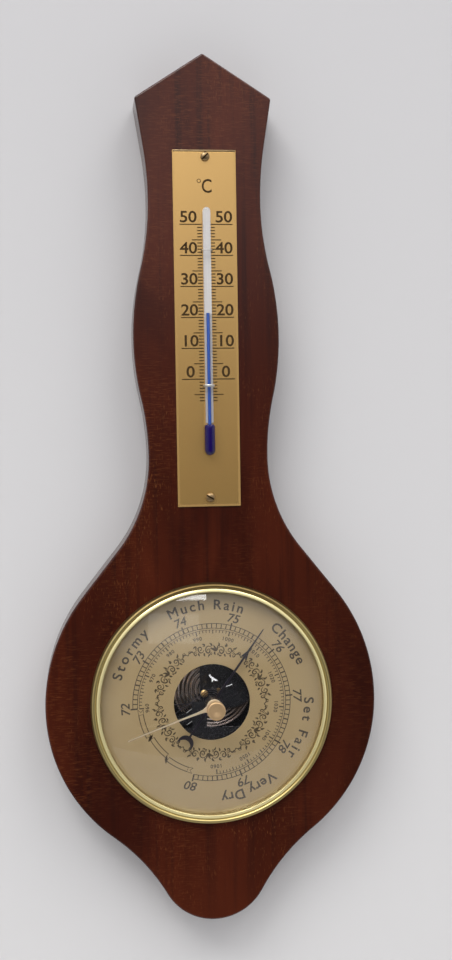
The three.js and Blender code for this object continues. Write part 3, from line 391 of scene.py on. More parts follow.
# %% Metals, lacquers and inks
polished_brass = metal("polished_brass", (0.56, 0.45, 0.19), (0.40, 0.30, 0.11), 50, 0.2, 0.36)
ring_brass = metal("ring_brass", (0.95, 0.84, 0.44), (0.80, 0.68, 0.32), 50, 0.12, 0.2, metallic=0.6)
knob_brass = metal("knob_brass", (0.74, 0.50, 0.27), (0.58, 0.38, 0.20), 200, 0.4, 0.34, metallic=0.7)
dull_brass = metal("dull_brass", (0.50, 0.37, 0.17), (0.20, 0.13, 0.06), 140, 0.5, 0.34)
warm_brass = metal("warm_brass", (0.76, 0.52, 0.24), (0.40, 0.20, 0.08), 260, 0.5, 0.3)
# dark_brass is the screws' own colour, and on the plate's top strip a painted shadow.
dark_brass = metal("dark_brass", (0.36, 0.25, 0.13), (0.14, 0.09, 0.05), 300, 0.5, 0.32)
pale_brass = metal("pale_brass", (0.90, 0.76, 0.56), (0.72, 0.56, 0.38), 150, 0.3, 0.30, metallic=0.7)
bright_steel = metal("bright_steel", (0.62, 0.62, 0.63), (0.22, 0.20, 0.18), 200, 0.35, 0.28)
# glint_steel is near-white metal for painted glints.
glint_steel = metal("glint_steel", (0.95, 0.95, 0.97), (0.8, 0.8, 0.8), 200, 0.1, 0.2)
blued_steel = metal(
    "blued_steel", (0.022, 0.019, 0.030), (0.05, 0.03, 0.02), 200, 0.5, 0.30, metallic=0.6,
)
pale_wire = metal("pale_wire", (0.60, 0.60, 0.60), (0.35, 0.35, 0.35), 150, 0.3, 0.35)
dark_nickel = metal("dark_nickel", (0.72, 0.62, 0.58), (0.45, 0.34, 0.28), 60, 0.3, 0.14)
# dark_rivet is brass darkened as painted shade.
dark_rivet = metal("dark_rivet", (0.13, 0.085, 0.045), (0.05, 0.03, 0.02), 200, 0.5, 0.4)
zinc_sheet = metal(
    "zinc_sheet", (0.50, 0.50, 0.49), (0.24, 0.24, 0.23), 70, 0.6, 0.38, stretch=(1800.0, 1800.0, 90.0),
)
gold_plate = metal("gold_plate", (0.80, 0.48, 0.145), (0.77, 0.45, 0.125), 9, 0.05, 0.25, metallic=0.8)
dial_gold = metal(
    "dial_gold", (0.363, 0.265, 0.135), (0.31, 0.215, 0.10), 18, 0.5, 0.50, metallic=0.25,
    stretch=(2500.0, 2500.0, 2500.0), relief=0.002,
)
gold_base = gold_plate.node_tree.nodes["Principled BSDF"]
feed(gold_plate.node_tree, gold_base, {"Coat Weight": 0.8, "Coat IOR": 1.7, "Coat Roughness": 0.22})


def tarnished_side(made, axis, start, end, color):
    """Blends a colour in along one of the object's axes, over what a metal already has, as painted shade."""
    tree = made.node_tree
    base = tree.nodes["Principled BSDF"]
    old = base.inputs["Base Color"].links[0].from_socket
    mask = ranged(tree, axis_place(tree, axis), start, end)
    feed(tree, base, {"Base Color": mixed(tree, mask, old, (*color, 1))})


# Painted shade: the bezel's brass darkens towards its top.
tarnished_side(polished_brass, "Z", DIAL_Z + 38 * MM, DIAL_Z + 60 * MM, (0.24, 0.165, 0.065))
# Painted shade: the capsule's nickel darkens towards its right side.
tarnished_side(dark_nickel, "X", -0.004, 0.006, (0.20, 0.165, 0.155))


def lacquer(name, color, roughness, dust):
    """Glossy paint with a little dust settled in it."""
    made, tree, base = new_finish(name)
    specks = noise(tree, 900.0, 4.0, 0.7)
    mask = ranged(tree, specks, 0.58, 0.75, dust)
    feed(tree, base, {
        "Base Color": mixed(tree, mask, (*color, 1), (0.20, 0.18, 0.16, 1)),
        "Roughness": multiplied(tree, mask, 0.6, roughness),
    })
    bump(tree, base, specks, 0.01)
    return made


def ink(name, color, fading):
    """Printed ink, a little uneven."""
    made, tree, base = new_finish(name)
    feed(tree, base, {
        "Base Color": mixed(tree, noise(tree, 700.0, 3.0), (*color, 1), (*fading, 1)),
        "Roughness": 0.6, "Specular IOR Level": 0.1,
    })
    return made


black_lacquer = lacquer("black_lacquer", (0.012, 0.012, 0.015), 0.24, 0.25)
dial_ink = ink("dial_ink", (0.035, 0.027, 0.022), (0.085, 0.065, 0.045))
brown_ink = ink("brown_ink", (0.050, 0.036, 0.020), (0.10, 0.072, 0.042))
# plate_ink also colours the dark slips in the screw slots, as painted shade.
plate_ink = ink("plate_ink", (0.036, 0.020, 0.007), (0.070, 0.040, 0.014))
enamel = ink("enamel", (0.57, 0.545, 0.54), (0.52, 0.50, 0.50))
print("finishes so far:", len(bpy.data.materials))

# %% [markdown]
# The glass is a plain Principled shader with full transmission. Shadow rays pass straight through it, by
# way of a Transparent shader, so that the lamps light the dial behind it without noise.

# %% Glass and dyed spirit


def clear_glass(name, tint, roughness):
    """Glass that lets the lamps' light through."""
    made, tree, base = new_finish(name)
    haze = ranged(tree, noise(tree, 45.0, 4.0), 0.45, 0.8, roughness)
    feed(tree, base, {"Base Color": tint, "Roughness": haze, "Transmission Weight": 1.0, "IOR": 1.45})
    shadow = node(tree, "ShaderNodeLightPath").outputs["Is Shadow Ray"]
    swap_shader(tree, base, shadow, node(tree, "ShaderNodeBsdfTransparent", {"Color": tint}))
    return made


def spirit(name, color, rim_shade_color, gloss=0.5):
    """Dyed spirit, darker towards the edges that turn away from view, as painted shade."""
    made, tree, base = new_finish(name)
    facing = node(tree, "ShaderNodeLayerWeight", {"Blend": 0.35}).outputs["Facing"]
    feed(tree, base, {
        "Base Color": mixed(tree, facing, color, rim_shade_color), "Roughness": 0.12, "Specular IOR Level": gloss,
    })
    return made


dome_glass = clear_glass("dome_glass", (0.985, 0.99, 0.985, 1), 0.015)
tube_glass = clear_glass("tube_glass", (0.97, 0.98, 0.98, 1), 0.02)
# The second colour of each spirit is its painted shade at the edges.
thread_spirit = spirit("thread_spirit", (0.025, 0.085, 0.36, 1), (0.012, 0.04, 0.25, 1))
bulb_spirit = spirit("bulb_spirit", (0.010, 0.003, 0.085, 1), (0.004, 0.002, 0.05, 1), gloss=0.0)
print("glass and spirit:", dome_glass.name, tube_glass.name, thread_spirit.name, bulb_spirit.name)

# %% [markdown]
# The board is stained beech under varnish: a dark red-brown with long darker streaks, and the short
# lighter flecks that beech shows. The grain layers are noise stretched along or across the grain and cut
# off, so that only their peaks show, and each is laid over the one before it. Over them the board is
# painted darker towards its right side, as painted shade, and a lighter brown at the foot, as painted light.

# %% Wood


def make_wood():
    """Stained and varnished board, its grain upright."""
    made, tree, base = new_finish("varnished_wood")

    def grain(stretch, detail=4.0, rough=0.6, twist=0.0):
        return noise(tree, 1.0, detail, rough, twist, stretch)

    broad = ranged(tree, grain((22.0, 22.0, 5.0), twist=0.6), 0.35, 0.68)
    streaks = ranged(tree, grain((240.0, 240.0, 7.0), 5.0), 0.50, 0.74, 0.75)
    flecks = ranged(tree, grain((1300.0, 1300.0, 330.0), 2.0, 0.5), 0.58, 0.69, 0.85)
    patches = ranged(tree, grain((30.0, 30.0, 16.0)), 0.48, 0.68)
    pores = grain((1500.0, 1500.0, 90.0), 3.0)
    across = ranged(tree, grain((200.0, 200.0, 1500.0), 3.0, 0.6, 0.3), 0.50, 0.68, 0.62)
    ribbons = ranged(tree, grain((14.0, 14.0, 9.0), 2.0), 0.42, 0.60)
    # Painted shade: the right side of the board is darker.
    shaded_side = ranged(tree, axis_place(tree, "X"), 0.02, 0.10, 0.55)
    # Painted light: the foot, below this mask's range, is a lighter brown.
    above_painted_foot_light = ranged(tree, axis_place(tree, "Z"), -0.47, -0.39)
    colour = (0.032, 0.0044, 0.0014, 1)
    for layer, mask in (
        ((0.080, 0.0135, 0.0042), broad),
        ((0.013, 0.0030, 0.0020), streaks),
        ((0.135, 0.040, 0.0125), multiplied(tree, flecks, patches)),
        ((0.016, 0.0036, 0.0020), ranged(tree, pores, 0.60, 0.72, 0.5)),
        ((0.120, 0.032, 0.0100), multiplied(tree, across, ribbons)),
        ((0.022, 0.0038, 0.0014), shaded_side),
    ):
        colour = mixed(tree, mask, colour, (*layer, 1))
    feed(tree, base, {
        "Base Color": mixed(tree, above_painted_foot_light, (0.085, 0.0150, 0.0042, 1), colour),
        "Roughness": multiplied(tree, pores, 0.22, 0.30),
        "Specular IOR Level": 0.05, "Coat Weight": 0.7, "Coat Roughness": 0.13,
    })
    bump(tree, base, pores, 0.01, 0.4)
    return made


varnished_wood = make_wood()
print("materials:", len(bpy.data.materials))

# %% [markdown]
# A few small helpers shape everything that follows. A profile is spun round an axis that stands out from
# the wall or stands upright, a block is a cube that is scaled, and a disc or plate is cut from its outline.
# Each finished shape becomes a piece that rides on its body and hides the plain node that it stands for.

# %% Shape helpers
MERGE = 1e-7
FACING_FRONT = Matrix.Rotation(math.radians(90), 4, "X")


def only(geometry, kind):
    """The vertices or faces among what an operator gives back."""
    return [g for g in geometry if isinstance(g, kind)]


def joined(shape, profile):
    """Adds a line of points to a shape and returns its vertices and edges."""
    points = [shape.verts.new(p) for p in profile]
    lines = [shape.edges.new(pair) for pair in zip(points, points[1:])]
    return points + lines


def spin(shape, profile, steps=96, x=0.0, z=0.0):
    """Spins a profile of [radius, height] once round an axis that stands out from the wall."""
    line = joined(shape, [at(x + radius, z, height) for radius, height in profile])
    bmesh.ops.spin(
        shape, geom=line, cent=at(x, z), axis=(0, 1, 0), angle=math.tau, steps=steps, use_merge=True,
    )


def spin_upright(shape, profile, x, height, steps=48):
    """Spins a profile of [radius, z] once round an upright axis."""
    line = joined(shape, [at(x + radius, z, height) for radius, z in profile])
    bmesh.ops.spin(
        shape, geom=line, cent=at(x, 0, height), axis=(0, 0, 1), angle=math.tau, steps=steps, use_merge=True,
    )


def collar(inner, outer, low, high):
    """The profile of a flat ring."""
    return [[inner, low], [outer, low], [outer, high], [inner, high], [inner, low]]


def disc(radius, low, high):
    """The profile of a solid disc."""
    return [[0, low], [radius, low], [radius, high], [0, high]]


def quarter(radius_x, radius_z, x, z, first, last, steps=8):
    """Points of an elliptic arc in a profile, by angles in degrees."""
    turns = [math.radians(first + (last - first) * i / steps) for i in range(steps + 1)]
    return [[x + radius_x * math.cos(turn), z + radius_z * math.sin(turn)] for turn in turns]


def block(shape, left, right, bottom, top, low, high):
    """A box between the given sides."""
    centre = at((left + right) / 2, (bottom + top) / 2, (low + high) / 2)
    size = Matrix.Diagonal(((right - left) * MM, (high - low) * MM, (top - bottom) * MM, 1))
    return bmesh.ops.create_cube(shape, size=1, matrix=Matrix.Translation(centre) @ size)["verts"]


def bevelled(shape, edges, width, segments, clamp):
    """Bevels some edges by a width in millimetres."""
    bmesh.ops.bevel(
        shape, geom=edges, offset=width * MM, segments=segments, profile=0.5, affect="EDGES", material=-1,
        clamp_overlap=clamp,
    )


def ease(shape, width, segments=2, sharp=50):
    """Bevels every convex edge that is sharper than an angle."""
    turn = math.radians(sharp)
    edges = [e for e in shape.edges if e.is_manifold and e.calc_face_angle_signed(0) > turn]
    bevelled(shape, edges, width, segments, clamp=True)


def rounded(shape, corner, width, segments=3):
    """Rounds a plate's corner edges that stand out from the wall, then eases the rest."""
    standing = [e for e in shape.edges if abs((e.verts[0].co - e.verts[1].co).y) > MERGE]
    bevelled(shape, standing, corner, 6, clamp=False)
    ease(shape, width, segments)


def extruded(shape, faces, height):
    """Carries faces on by a height out from the wall and returns what the extrusion made."""
    made = bmesh.ops.extrude_face_region(shape, geom=faces)["geom"]
    bmesh.ops.translate(shape, verts=only(made, bmesh.types.BMVert), vec=(0, -height * MM, 0))
    return made


def stamp(shape, outline, low, high):
    """Extrudes an outline of x, z points between two heights."""
    face = shape.faces.new([shape.verts.new(at(x, z, low)) for x, z in outline])
    extruded(shape, [face], high - low)


def turned(shape, clock, x=0.0, z=0.0):
    """Turns a shape clockwise, in degrees, round an axis that stands out from the wall."""
    matrix = Matrix.Rotation(math.radians(clock), 3, "Y")
    bmesh.ops.rotate(shape, verts=shape.verts, cent=at(x, z), matrix=matrix)


def rod_between(shape, start, end, radius, segments=16):
    """A round rod between two places."""
    way = end - start
    turn = way.to_track_quat("Z", "X").to_matrix().to_4x4()
    bmesh.ops.create_cone(
        shape, cap_ends=True, segments=segments, radius1=radius * MM, radius2=radius * MM, depth=way.length,
        matrix=Matrix.Translation((start + end) / 2) @ turn,
    )


def placed(*builders):
    """One shape from several building calls, each given as a function and its arguments."""
    shape = bmesh.new()
    for build, *given in builders:
        build(shape, *given)
    return shape


# %% [markdown]
# A shape becomes a piece in four steps: its seams are closed and its faces turned outwards, cutters are
# taken out of it, it gets its finish, and it is tied to its body and to the node that it stands for. Where
# the plain node's form is right already, a copy of it only gets its edges rounded.

# %% From shape to piece


def outward(shape):
    """Closes seams and turns every face outwards."""
    bmesh.ops.remove_doubles(shape, verts=shape.verts, dist=MERGE)
    bmesh.ops.dissolve_degenerate(shape, edges=shape.edges, dist=MERGE / 10)
    bmesh.ops.recalc_face_normals(shape, faces=shape.faces)


def carve(mesh, cutters):
    """Cuts shapes out of a mesh one after the other and returns the new mesh."""
    blank = linked("blank", mesh)
    tools = []
    for shape in cutters:
        outward(shape)
        tools.append(linked("tool", mesh_of("tool", shape)))
        cut = blank.modifiers.new("cut", "BOOLEAN")
        cut.object = tools[-1]
        cut.operation = "DIFFERENCE"
        cut.solver = "EXACT"
    view = bpy.context.evaluated_depsgraph_get()
    result = bpy.data.meshes.new_from_object(blank.evaluated_get(view))
    for spent in [blank] + tools:
        bpy.data.objects.remove(spent)
    return result


def finished(name, mesh, finish, body, nodes, sharp, even):
    """Makes the object for a mesh: its finish, its body or, for a pair of bodies, only its baked transform,
    and hides its nodes.
    """
    mesh.name = name
    mesh.materials.clear()
    mesh.materials.append(finish)
    mesh.shade_smooth()
    mesh.set_sharp_from_angle(angle=math.radians(sharp))
    made = linked(name, mesh)
    if even:
        made.modifiers.new("even_normals", "WEIGHTED_NORMAL").keep_sharp = True
    if isinstance(body, tuple):
        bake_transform(made)
    else:
        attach(made, body)
    if nodes:
        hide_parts(*nodes)
    print(f"{name}: {len(mesh.polygons)} faces")


def piece(name, shape, finish, *nodes, body="root", slot=None, cutters=(), sharp=38, even=False):
    """Turns a shape into a finished piece, after any cutters have been taken out of it."""
    outward(shape)
    mesh = mesh_of(name, shape)
    if cutters:
        mesh = carve(mesh, cutters)
    finished(name, mesh, finish, body, nodes, sharp, even)


def eased(name, finish, width, sharp=32, body=None):
    """The plain node's own form, with its sharp convex edges rounded a little."""
    source = frame["nodes"][name]
    shape = bmesh.new()
    shape.from_mesh(source.data)
    bmesh.ops.remove_doubles(shape, verts=shape.verts, dist=MERGE)
    bmesh.ops.dissolve_limit(
        shape, angle_limit=math.radians(1), verts=shape.verts, edges=shape.edges, delimit={"NORMAL"},
    )
    ease(shape, width, sharp=sharp)
    new_name = name + "_eased"
    finished(new_name, mesh_of(new_name, shape), finish, body or source["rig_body"], [name], sharp, True)


# %% [markdown]
# The board's outline is a chain of arcs that run into each other without a kink: the foot's round lobe,
# the hollow flanks, the body's circle, the shoulders, the neck that swells and narrows, and the flared
# head under its gable. One vertex is spun from arc to arc up the right side, and a mirror makes the left.
# The wall is filled in round the same outline, a little inside it, so that light reaches the board's back
# from behind.

# %% Board outline
BOARD_THICK = 24.0
BOARD_EDGE = 1.1
BODY_R = 90.0
SHOULDER_R = 96.0
SHOULDER_STRAIGHT = 31.2
FLARE_R = 80.0
LOBE_R = 30.0
FOOT_REACH = 29.4
FLANK_R = 110.0
PINCH = 32.3
SWELL = 7.1
SWELL_RISE = 64.0
DRAW = 9.1
DRAW_RISE = 73.5
HEAD_R = 180.0
HEAD_ARC = 28.2
HEAD_STRAIGHT = 25.8
GABLE = 23.5
ARC_STEP = 1.6
SEAM = 1e-5


class Outline:
    """Carries a chain of edges on along arcs and straight lines."""

    def __init__(self, shape, x, z):
        self.shape = shape
        self.tip = shape.verts.new(at(x, z))

    def arc(self, x, z, turn):
        """On round a centre, by an angle in radians, positive anticlockwise from the front."""
        radius = (self.tip.co - at(x, z)).length / MM
        steps = max(4, math.ceil(radius * abs(turn) / ARC_STEP))
        made = bmesh.ops.spin(
            self.shape, geom=[self.tip], cent=at(x, z), axis=(0, 1, 0), angle=-turn, steps=steps,
        )["geom_last"]
        self.tip = only(made, bmesh.types.BMVert)[0]

    def line(self, x, z):
        """On straight to a point."""
        end = self.shape.verts.new(at(x, z))
        self.shape.edges.new((self.tip, end))
        self.tip = end


def board_half(shape):
    """The right half of the outline, from the foot to the apex."""
    lobe_z = LOBE_R - BODY_R - FOOT_REACH
    to_lobe = LOBE_R + FLANK_R
    to_body = BODY_R + FLANK_R
    flank_z = (to_body**2 - to_lobe**2 + lobe_z**2) / (2 * lobe_z)
    flank_x = math.sqrt(to_body**2 - flank_z**2)
    lobe_end = math.atan2(flank_z - lobe_z, flank_x)
    body_start = math.atan2(flank_z, flank_x)
    way = Outline(shape, 0, lobe_z - LOBE_R)
    way.arc(0, lobe_z, lobe_end + math.pi / 2)
    way.arc(flank_x, flank_z, body_start - lobe_end)
    way.arc(0, 0, -body_start)

    shoulder_x = BODY_R - SHOULDER_R
    flare_x = PINCH + FLARE_R
    reach = math.hypot(SHOULDER_R + FLARE_R, SHOULDER_STRAIGHT)
    flare_z = math.sqrt(reach**2 - (flare_x - shoulder_x) ** 2)
    straight_turn = math.atan2(SHOULDER_STRAIGHT, SHOULDER_R + FLARE_R)
    shoulder_end = math.atan2(flare_z, flare_x - shoulder_x) - straight_turn
    way.arc(shoulder_x, 0, shoulder_end)
    way.line(flare_x - FLARE_R * math.cos(shoulder_end), flare_z - FLARE_R * math.sin(shoulder_end))
    way.arc(flare_x, flare_z, -shoulder_end)

    swell_r = (SWELL_RISE**2 + SWELL**2) / (4 * SWELL)
    swell_turn = math.asin(SWELL_RISE / 2 / swell_r)
    waist = PINCH + SWELL
    waist_z = flare_z + SWELL_RISE
    way.arc(PINCH + swell_r, flare_z, -swell_turn)
    way.arc(waist - swell_r, waist_z, swell_turn)

    draw_r = (DRAW_RISE**2 + DRAW**2) / (4 * DRAW)
    draw_turn = math.asin(DRAW_RISE / 2 / draw_r)
    upper_z = waist_z + DRAW_RISE
    upper = waist - DRAW
    way.arc(waist - draw_r, waist_z, draw_turn)
    way.arc(upper + draw_r, upper_z, -draw_turn)

    head_turn = math.asin(HEAD_ARC / HEAD_R)
    corner_z = upper_z + HEAD_ARC + HEAD_STRAIGHT
    way.arc(upper + HEAD_R, upper_z, -head_turn)
    way.line(way.tip.co.x / MM + HEAD_STRAIGHT * math.tan(head_turn), corner_z)
    way.line(0, corner_z + GABLE)


board_shape = bmesh.new()
board_half(board_shape)
half = board_shape.verts[:] + board_shape.edges[:]
bmesh.ops.mirror(board_shape, geom=half, axis="X", merge_dist=SEAM)
bmesh.ops.remove_doubles(board_shape, verts=board_shape.verts, dist=SEAM)
print("outline:", len(board_shape.edges), "edges")

# %% Wall round the board
WALL_SIDE = 3.0
WALL_GAP = 0.0006
HOLE_SHARE = (0.97, 1, 0.985)
BOARD_MIDDLE = at(0, 90.0)
wall = board_shape.copy()
bmesh.ops.translate(wall, verts=wall.verts, vec=-BOARD_MIDDLE)
bmesh.ops.scale(wall, vec=HOLE_SHARE, verts=wall.verts)
bmesh.ops.translate(wall, verts=wall.verts, vec=BOARD_MIDDLE + Vector((0, WALL_GAP, 0)))
corners = []
for x, z in ((-1, -1), (1, -1), (1, 1), (-1, 1)):
    corners.append(wall.verts.new((x * WALL_SIDE, WALL_GAP, z * WALL_SIDE)))
for start, end in zip(corners, corners[1:] + corners[:1]):
    wall.edges.new((start, end))
bmesh.ops.triangle_fill(wall, use_beauty=False, use_dissolve=False, edges=wall.edges[:], normal=(0, -1, 0))
if sum(f.normal.y for f in wall.faces) > 0:
    bmesh.ops.reverse_faces(wall, faces=wall.faces)
print("wall faces:", len(wall.faces))
stage_object("wall", wall)

# %% Board's thickness
back = bmesh.ops.contextual_create(board_shape, geom=board_shape.edges[:])["faces"]
extruded(board_shape, back, BOARD_THICK)
bmesh.ops.recalc_face_normals(board_shape, faces=board_shape.faces)
ease(board_shape, BOARD_EDGE, segments=3, sharp=60)
print("board outline:", len(board_shape.verts), "points")

# %% [markdown]
# Holes come from cutters, one for each: the opening for the barometer, the pockets of the hanger and of
# the three clips, and the holes of the screws. They are subtracted once the board becomes a piece.

# %% Board pockets
HOOK_Z = -DIAL_Z / MM
OPENING_R = 63.4
# A pocket is half its width, its bottom and top, and the two heights that it is cut between.
HANGER_BED = (8.8, HOOK_Z - 26.3, HOOK_Z + 14.3, -1, 1.5)
HOOK_HOLLOW = (5.3, HOOK_Z - 16.3, HOOK_Z + 5.3, -1.2, 9.0)
CLIP_BED = (5.3, 58.0, 75.7, -1, 2.5)
CLIP_CLOCKS = (0, 120, 240)
CLIP_SCREW_R = 69.4
HANGER_SCREW_Z = (HOOK_Z - 21.4, HOOK_Z + 9.4)
SCREW_HOLE_R = 1.8
SCALE_X = 0.5
PLATE_SCREW_Z = (112.1, 294.0)
PLATE_HOLE_R = 1.4


def drill(radius, x, z, low, high, steps=20):
    """A round cutter."""
    return placed((spin, disc(radius, low, high), steps, x, z))


def pocket(half, bottom, top, low, high, clock=0):
    """A square cutter, turned clockwise round the dial's axis."""
    shape = placed((block, -half, half, bottom, top, low, high))
    turned(shape, clock)
    return shape


board_cutters = [
    drill(OPENING_R, 0, 0, -1, BOARD_THICK + 1, 160), pocket(*HANGER_BED), pocket(*HOOK_HOLLOW),
]
for clock in CLIP_CLOCKS:
    board_cutters.append(pocket(*CLIP_BED, clock))
    board_cutters.append(drill(SCREW_HOLE_R, *polar(CLIP_SCREW_R, clock), low=1, high=15, steps=12))
for z in HANGER_SCREW_Z:
    board_cutters.append(drill(SCREW_HOLE_R, 0, z, low=0.5, high=13, steps=12))
for z in PLATE_SCREW_Z:
    board_cutters.append(drill(PLATE_HOLE_R, SCALE_X, z, low=12.5, high=BOARD_THICK + 1, steps=12))
piece("board_wood", board_shape, varnished_wood, "board", cutters=board_cutters, even=True)

# %% [markdown]
# The fittings on the back keep the plain model's form, because sheet metal and screws are simple shapes.
# Their edges are rounded by a tenth or two of a millimetre, so that they catch the light as real ones do.

# %% Fittings on the back
eased("hanger_plate", zinc_sheet, 0.25)
eased("case_drum", zinc_sheet, 0.15, sharp=50)
for name in ("hanger_screw_top", "hanger_screw_bottom", "adjusting_screw"):
    eased(name, bright_steel, 0.12)
for number in (1, 2, 3):
    eased(f"case_clip_{number}", zinc_sheet, 0.25)
    eased(f"case_clip_screw_{number}", bright_steel, 0.12)
    eased(f"base_screw_{number}", bright_steel, 0.12)

# %% [markdown]
# The thermometer plate is thin lacquered sheet, its border pressed down a little, with a scale in dark
# print. Lettering starts as text in Blender's own font and becomes a thin mesh just above the sheet, so
# that it is real ink on a surface.

# %% Thermometer plate
PLATE_FACE = 25.1
PLATE_LOW = 107.2
PLATE_HIGH = 297.6
PLATE_BACK = 24.3
PLATE_SIDE = 17.0
BORDER_WIDTH = 1.2
BORDER_DROP = 0.35
sheet_metal = placed((
    block, -PLATE_SIDE, PLATE_SIDE, PLATE_LOW, PLATE_HIGH, PLATE_BACK, PLATE_FACE - BORDER_DROP,
))
bmesh.ops.recalc_face_normals(sheet_metal, faces=sheet_metal.faces)
front = [f for f in sheet_metal.faces if f.normal.y < -0.5]
bmesh.ops.inset_region(
    sheet_metal, faces=front, thickness=BORDER_WIDTH * MM, depth=BORDER_DROP * MM, use_even_offset=True,
)
plate_holes = [drill(1.0, SCALE_X, z, 23, 27, 16) for z in PLATE_SCREW_Z]
piece("plate_pressed", sheet_metal, gold_plate, "thermometer_plate", sharp=8, cutters=plate_holes)

# %% Dark strip along the plate's top: a painted shadow
painted_top_shadow = placed((
    block, 0.3 - PLATE_SIDE, PLATE_SIDE - 0.3, PLATE_HIGH - 0.95, PLATE_HIGH, 24.4, PLATE_FACE + 0.1,
))
ease(painted_top_shadow, 0.12)
piece("plate_top_shadow", painted_top_shadow, dark_brass, slot="gold_plate")

# %% Lettering and lines
PRINT_LIFT = 0.03


def thicken(shape, weight):
    """Moves the outlines of flat lettering apart, so that every stroke grows by a weight on each side."""
    moves = []
    for vert in shape.verts:
        way = Vector()
        for rim in (e for e in vert.link_edges if e.is_boundary):
            along = rim.verts[1].co - rim.verts[0].co
            across = Vector((-along.y, along.x, 0)).normalized()
            inside = rim.link_faces[0].calc_center_median() - rim.verts[0].co
            way += across if across.dot(inside) < 0 else -across
        moves.append((vert, way * weight / max(0.6, way.length_squared / 2)))
    for vert, move in moves:
        vert.co += move


def letters(text, height, spacing=1.0, weight=0.0):
    """Flat lettering in the x, y plane, in millimetres, its capitals as tall as given."""
    curve = bpy.data.curves.new("letters", "FONT")
    curve.body = text
    curve.align_x = "CENTER"
    curve.space_character = spacing
    curve.resolution_u = 4
    curve.size = 1.0
    holder = linked("letters", curve)
    view = bpy.context.evaluated_depsgraph_get()
    flat = bpy.data.meshes.new_from_object(holder.evaluated_get(view))
    bpy.data.objects.remove(holder)
    shape = bmesh.new()
    shape.from_mesh(flat)
    bpy.data.meshes.remove(flat)
    grow = height / CAP_HEIGHT
    bmesh.ops.scale(shape, vec=(grow, grow, grow), verts=shape.verts)
    thicken(shape, weight)
    return shape


CAP_HEIGHT = 1.0
probe = letters("H", 1.0)
CAP_HEIGHT = max(v.co.y for v in probe.verts)
probe.free()
print("capital height of the font:", round(CAP_HEIGHT, 3))


def lay(target, flat, place):
    """Copies flat lettering into a shape, each point moved by a function of its x and y."""
    for vert in flat.verts:
        vert.co = place(vert.co.x, vert.co.y)
    holder = mesh_of("lettering", flat)
    target.from_mesh(holder)
    bpy.data.meshes.remove(holder)


def straight(x, z, level, stretch=1.0):
    """Places lettering upright, its baseline's middle at x and z."""
    return lambda a, b: at(x + a * stretch, z + b, level)


def tick(shape, x0, z0, x1, z1, width, level):
    """A printed line."""
    start, end = at(x0, z0, level), at(x1, z1, level)
    way = end - start
    turn = math.atan2(way.z, way.x)
    matrix = (
        Matrix.Translation((start + end) / 2)
        @ Matrix.Rotation(-turn, 4, "Y")
        @ FACING_FRONT
        @ Matrix.Diagonal((way.length / 2, width * MM / 2, 1, 1))
    )
    bmesh.ops.create_grid(shape, x_segments=1, y_segments=1, size=1, matrix=matrix)


def printed(name, shape, finish, slot):
    """Gives flat print its thickness and makes it a piece."""
    extruded(shape, shape.faces[:], PRINT_LIFT)
    piece(name, shape, finish, slot=slot)


# %% Thermometer scale
ZERO_Z = 175.65
DEGREE = 1.65
TICK_START = 2.2
DEGREE_MARKS = [(14.2, 14.3, 0.55), (7.7, 8.1, 0.52), (4.8, 4.7, 0.54)]
FIGURE_SIDE = 9.55
FIGURE_LIFT = 1.15
RING_X = SCALE_X - 3.5
RING_Z = 281.2
RING_STEP = 20


def grade(count):
    """0 for every tenth mark of a scale, 1 for the fifths between, 2 for the rest."""
    if count % 10 == 0:
        return 0
    return 1 if count % 5 == 0 else 2


scale_print = bmesh.new()
for degree in range(-7, 51):
    z = ZERO_Z + DEGREE * degree
    to_left, to_right, width = DEGREE_MARKS[grade(degree)]
    tick(scale_print, SCALE_X - to_left, z, SCALE_X - TICK_START, z, width, PLATE_FACE)
    tick(scale_print, SCALE_X + TICK_START, z, SCALE_X + to_right, z, width, PLATE_FACE)
for value in range(0, 51, 10):
    for x in (SCALE_X - FIGURE_SIDE, SCALE_X + FIGURE_SIDE):
        place = straight(x, ZERO_Z + DEGREE * value + FIGURE_LIFT, PLATE_FACE, 1.12)
        lay(scale_print, letters(str(value), 5.8, 0.98, 0.13), place)
lay(scale_print, letters("C", 7.0, 1.0, 0.10), straight(SCALE_X + 0.7, 275.0, PLATE_FACE, 0.82))
for start in range(0, 360, RING_STEP):
    x0, z0 = polar(0.95, start)
    x1, z1 = polar(0.95, start + RING_STEP)
    tick(scale_print, RING_X + x0, RING_Z + z0, RING_X + x1, RING_Z + z1, 0.35, PLATE_FACE)
printed("thermometer_scale", scale_print, plate_ink, "gold_plate")

# %% [markdown]
# Both plate screws are domed brass with one slot. The dome is a spun arc, a thin cutter makes the slot, and
# a darker slip lies in it, painted shade for the slot's depth.

# %% Screws of the plate
HEAD_LOW = 25.4
SCREW_R = 2.4
HEAD_RISE = 1.6
SHANK_R = 1.1
SCREW_TIP = HEAD_LOW - 12.0
SCREW_SLOTS = {"thermometer_screw_bottom": -30, "thermometer_screw_top": 45}
screw_profile = quarter(SCREW_R, 0.75 * HEAD_RISE, 0, HEAD_LOW + 0.25 * HEAD_RISE, 90, 0, 10) + [
    [SCREW_R, HEAD_LOW], [SHANK_R, HEAD_LOW], [SHANK_R, SCREW_TIP + SHANK_R], [0, SCREW_TIP],
]


def slot_bar(z, half, thick, low, high, angle):
    """A bar across a screw's head, rising to the right; low and high are shares of the dome's height."""
    bar = placed((
        block, SCALE_X - half, SCALE_X + half, z - thick / 2, z + thick / 2,
        HEAD_LOW + low * HEAD_RISE, HEAD_LOW + high * HEAD_RISE,
    ))
    turned(bar, -angle, SCALE_X, z)
    return bar


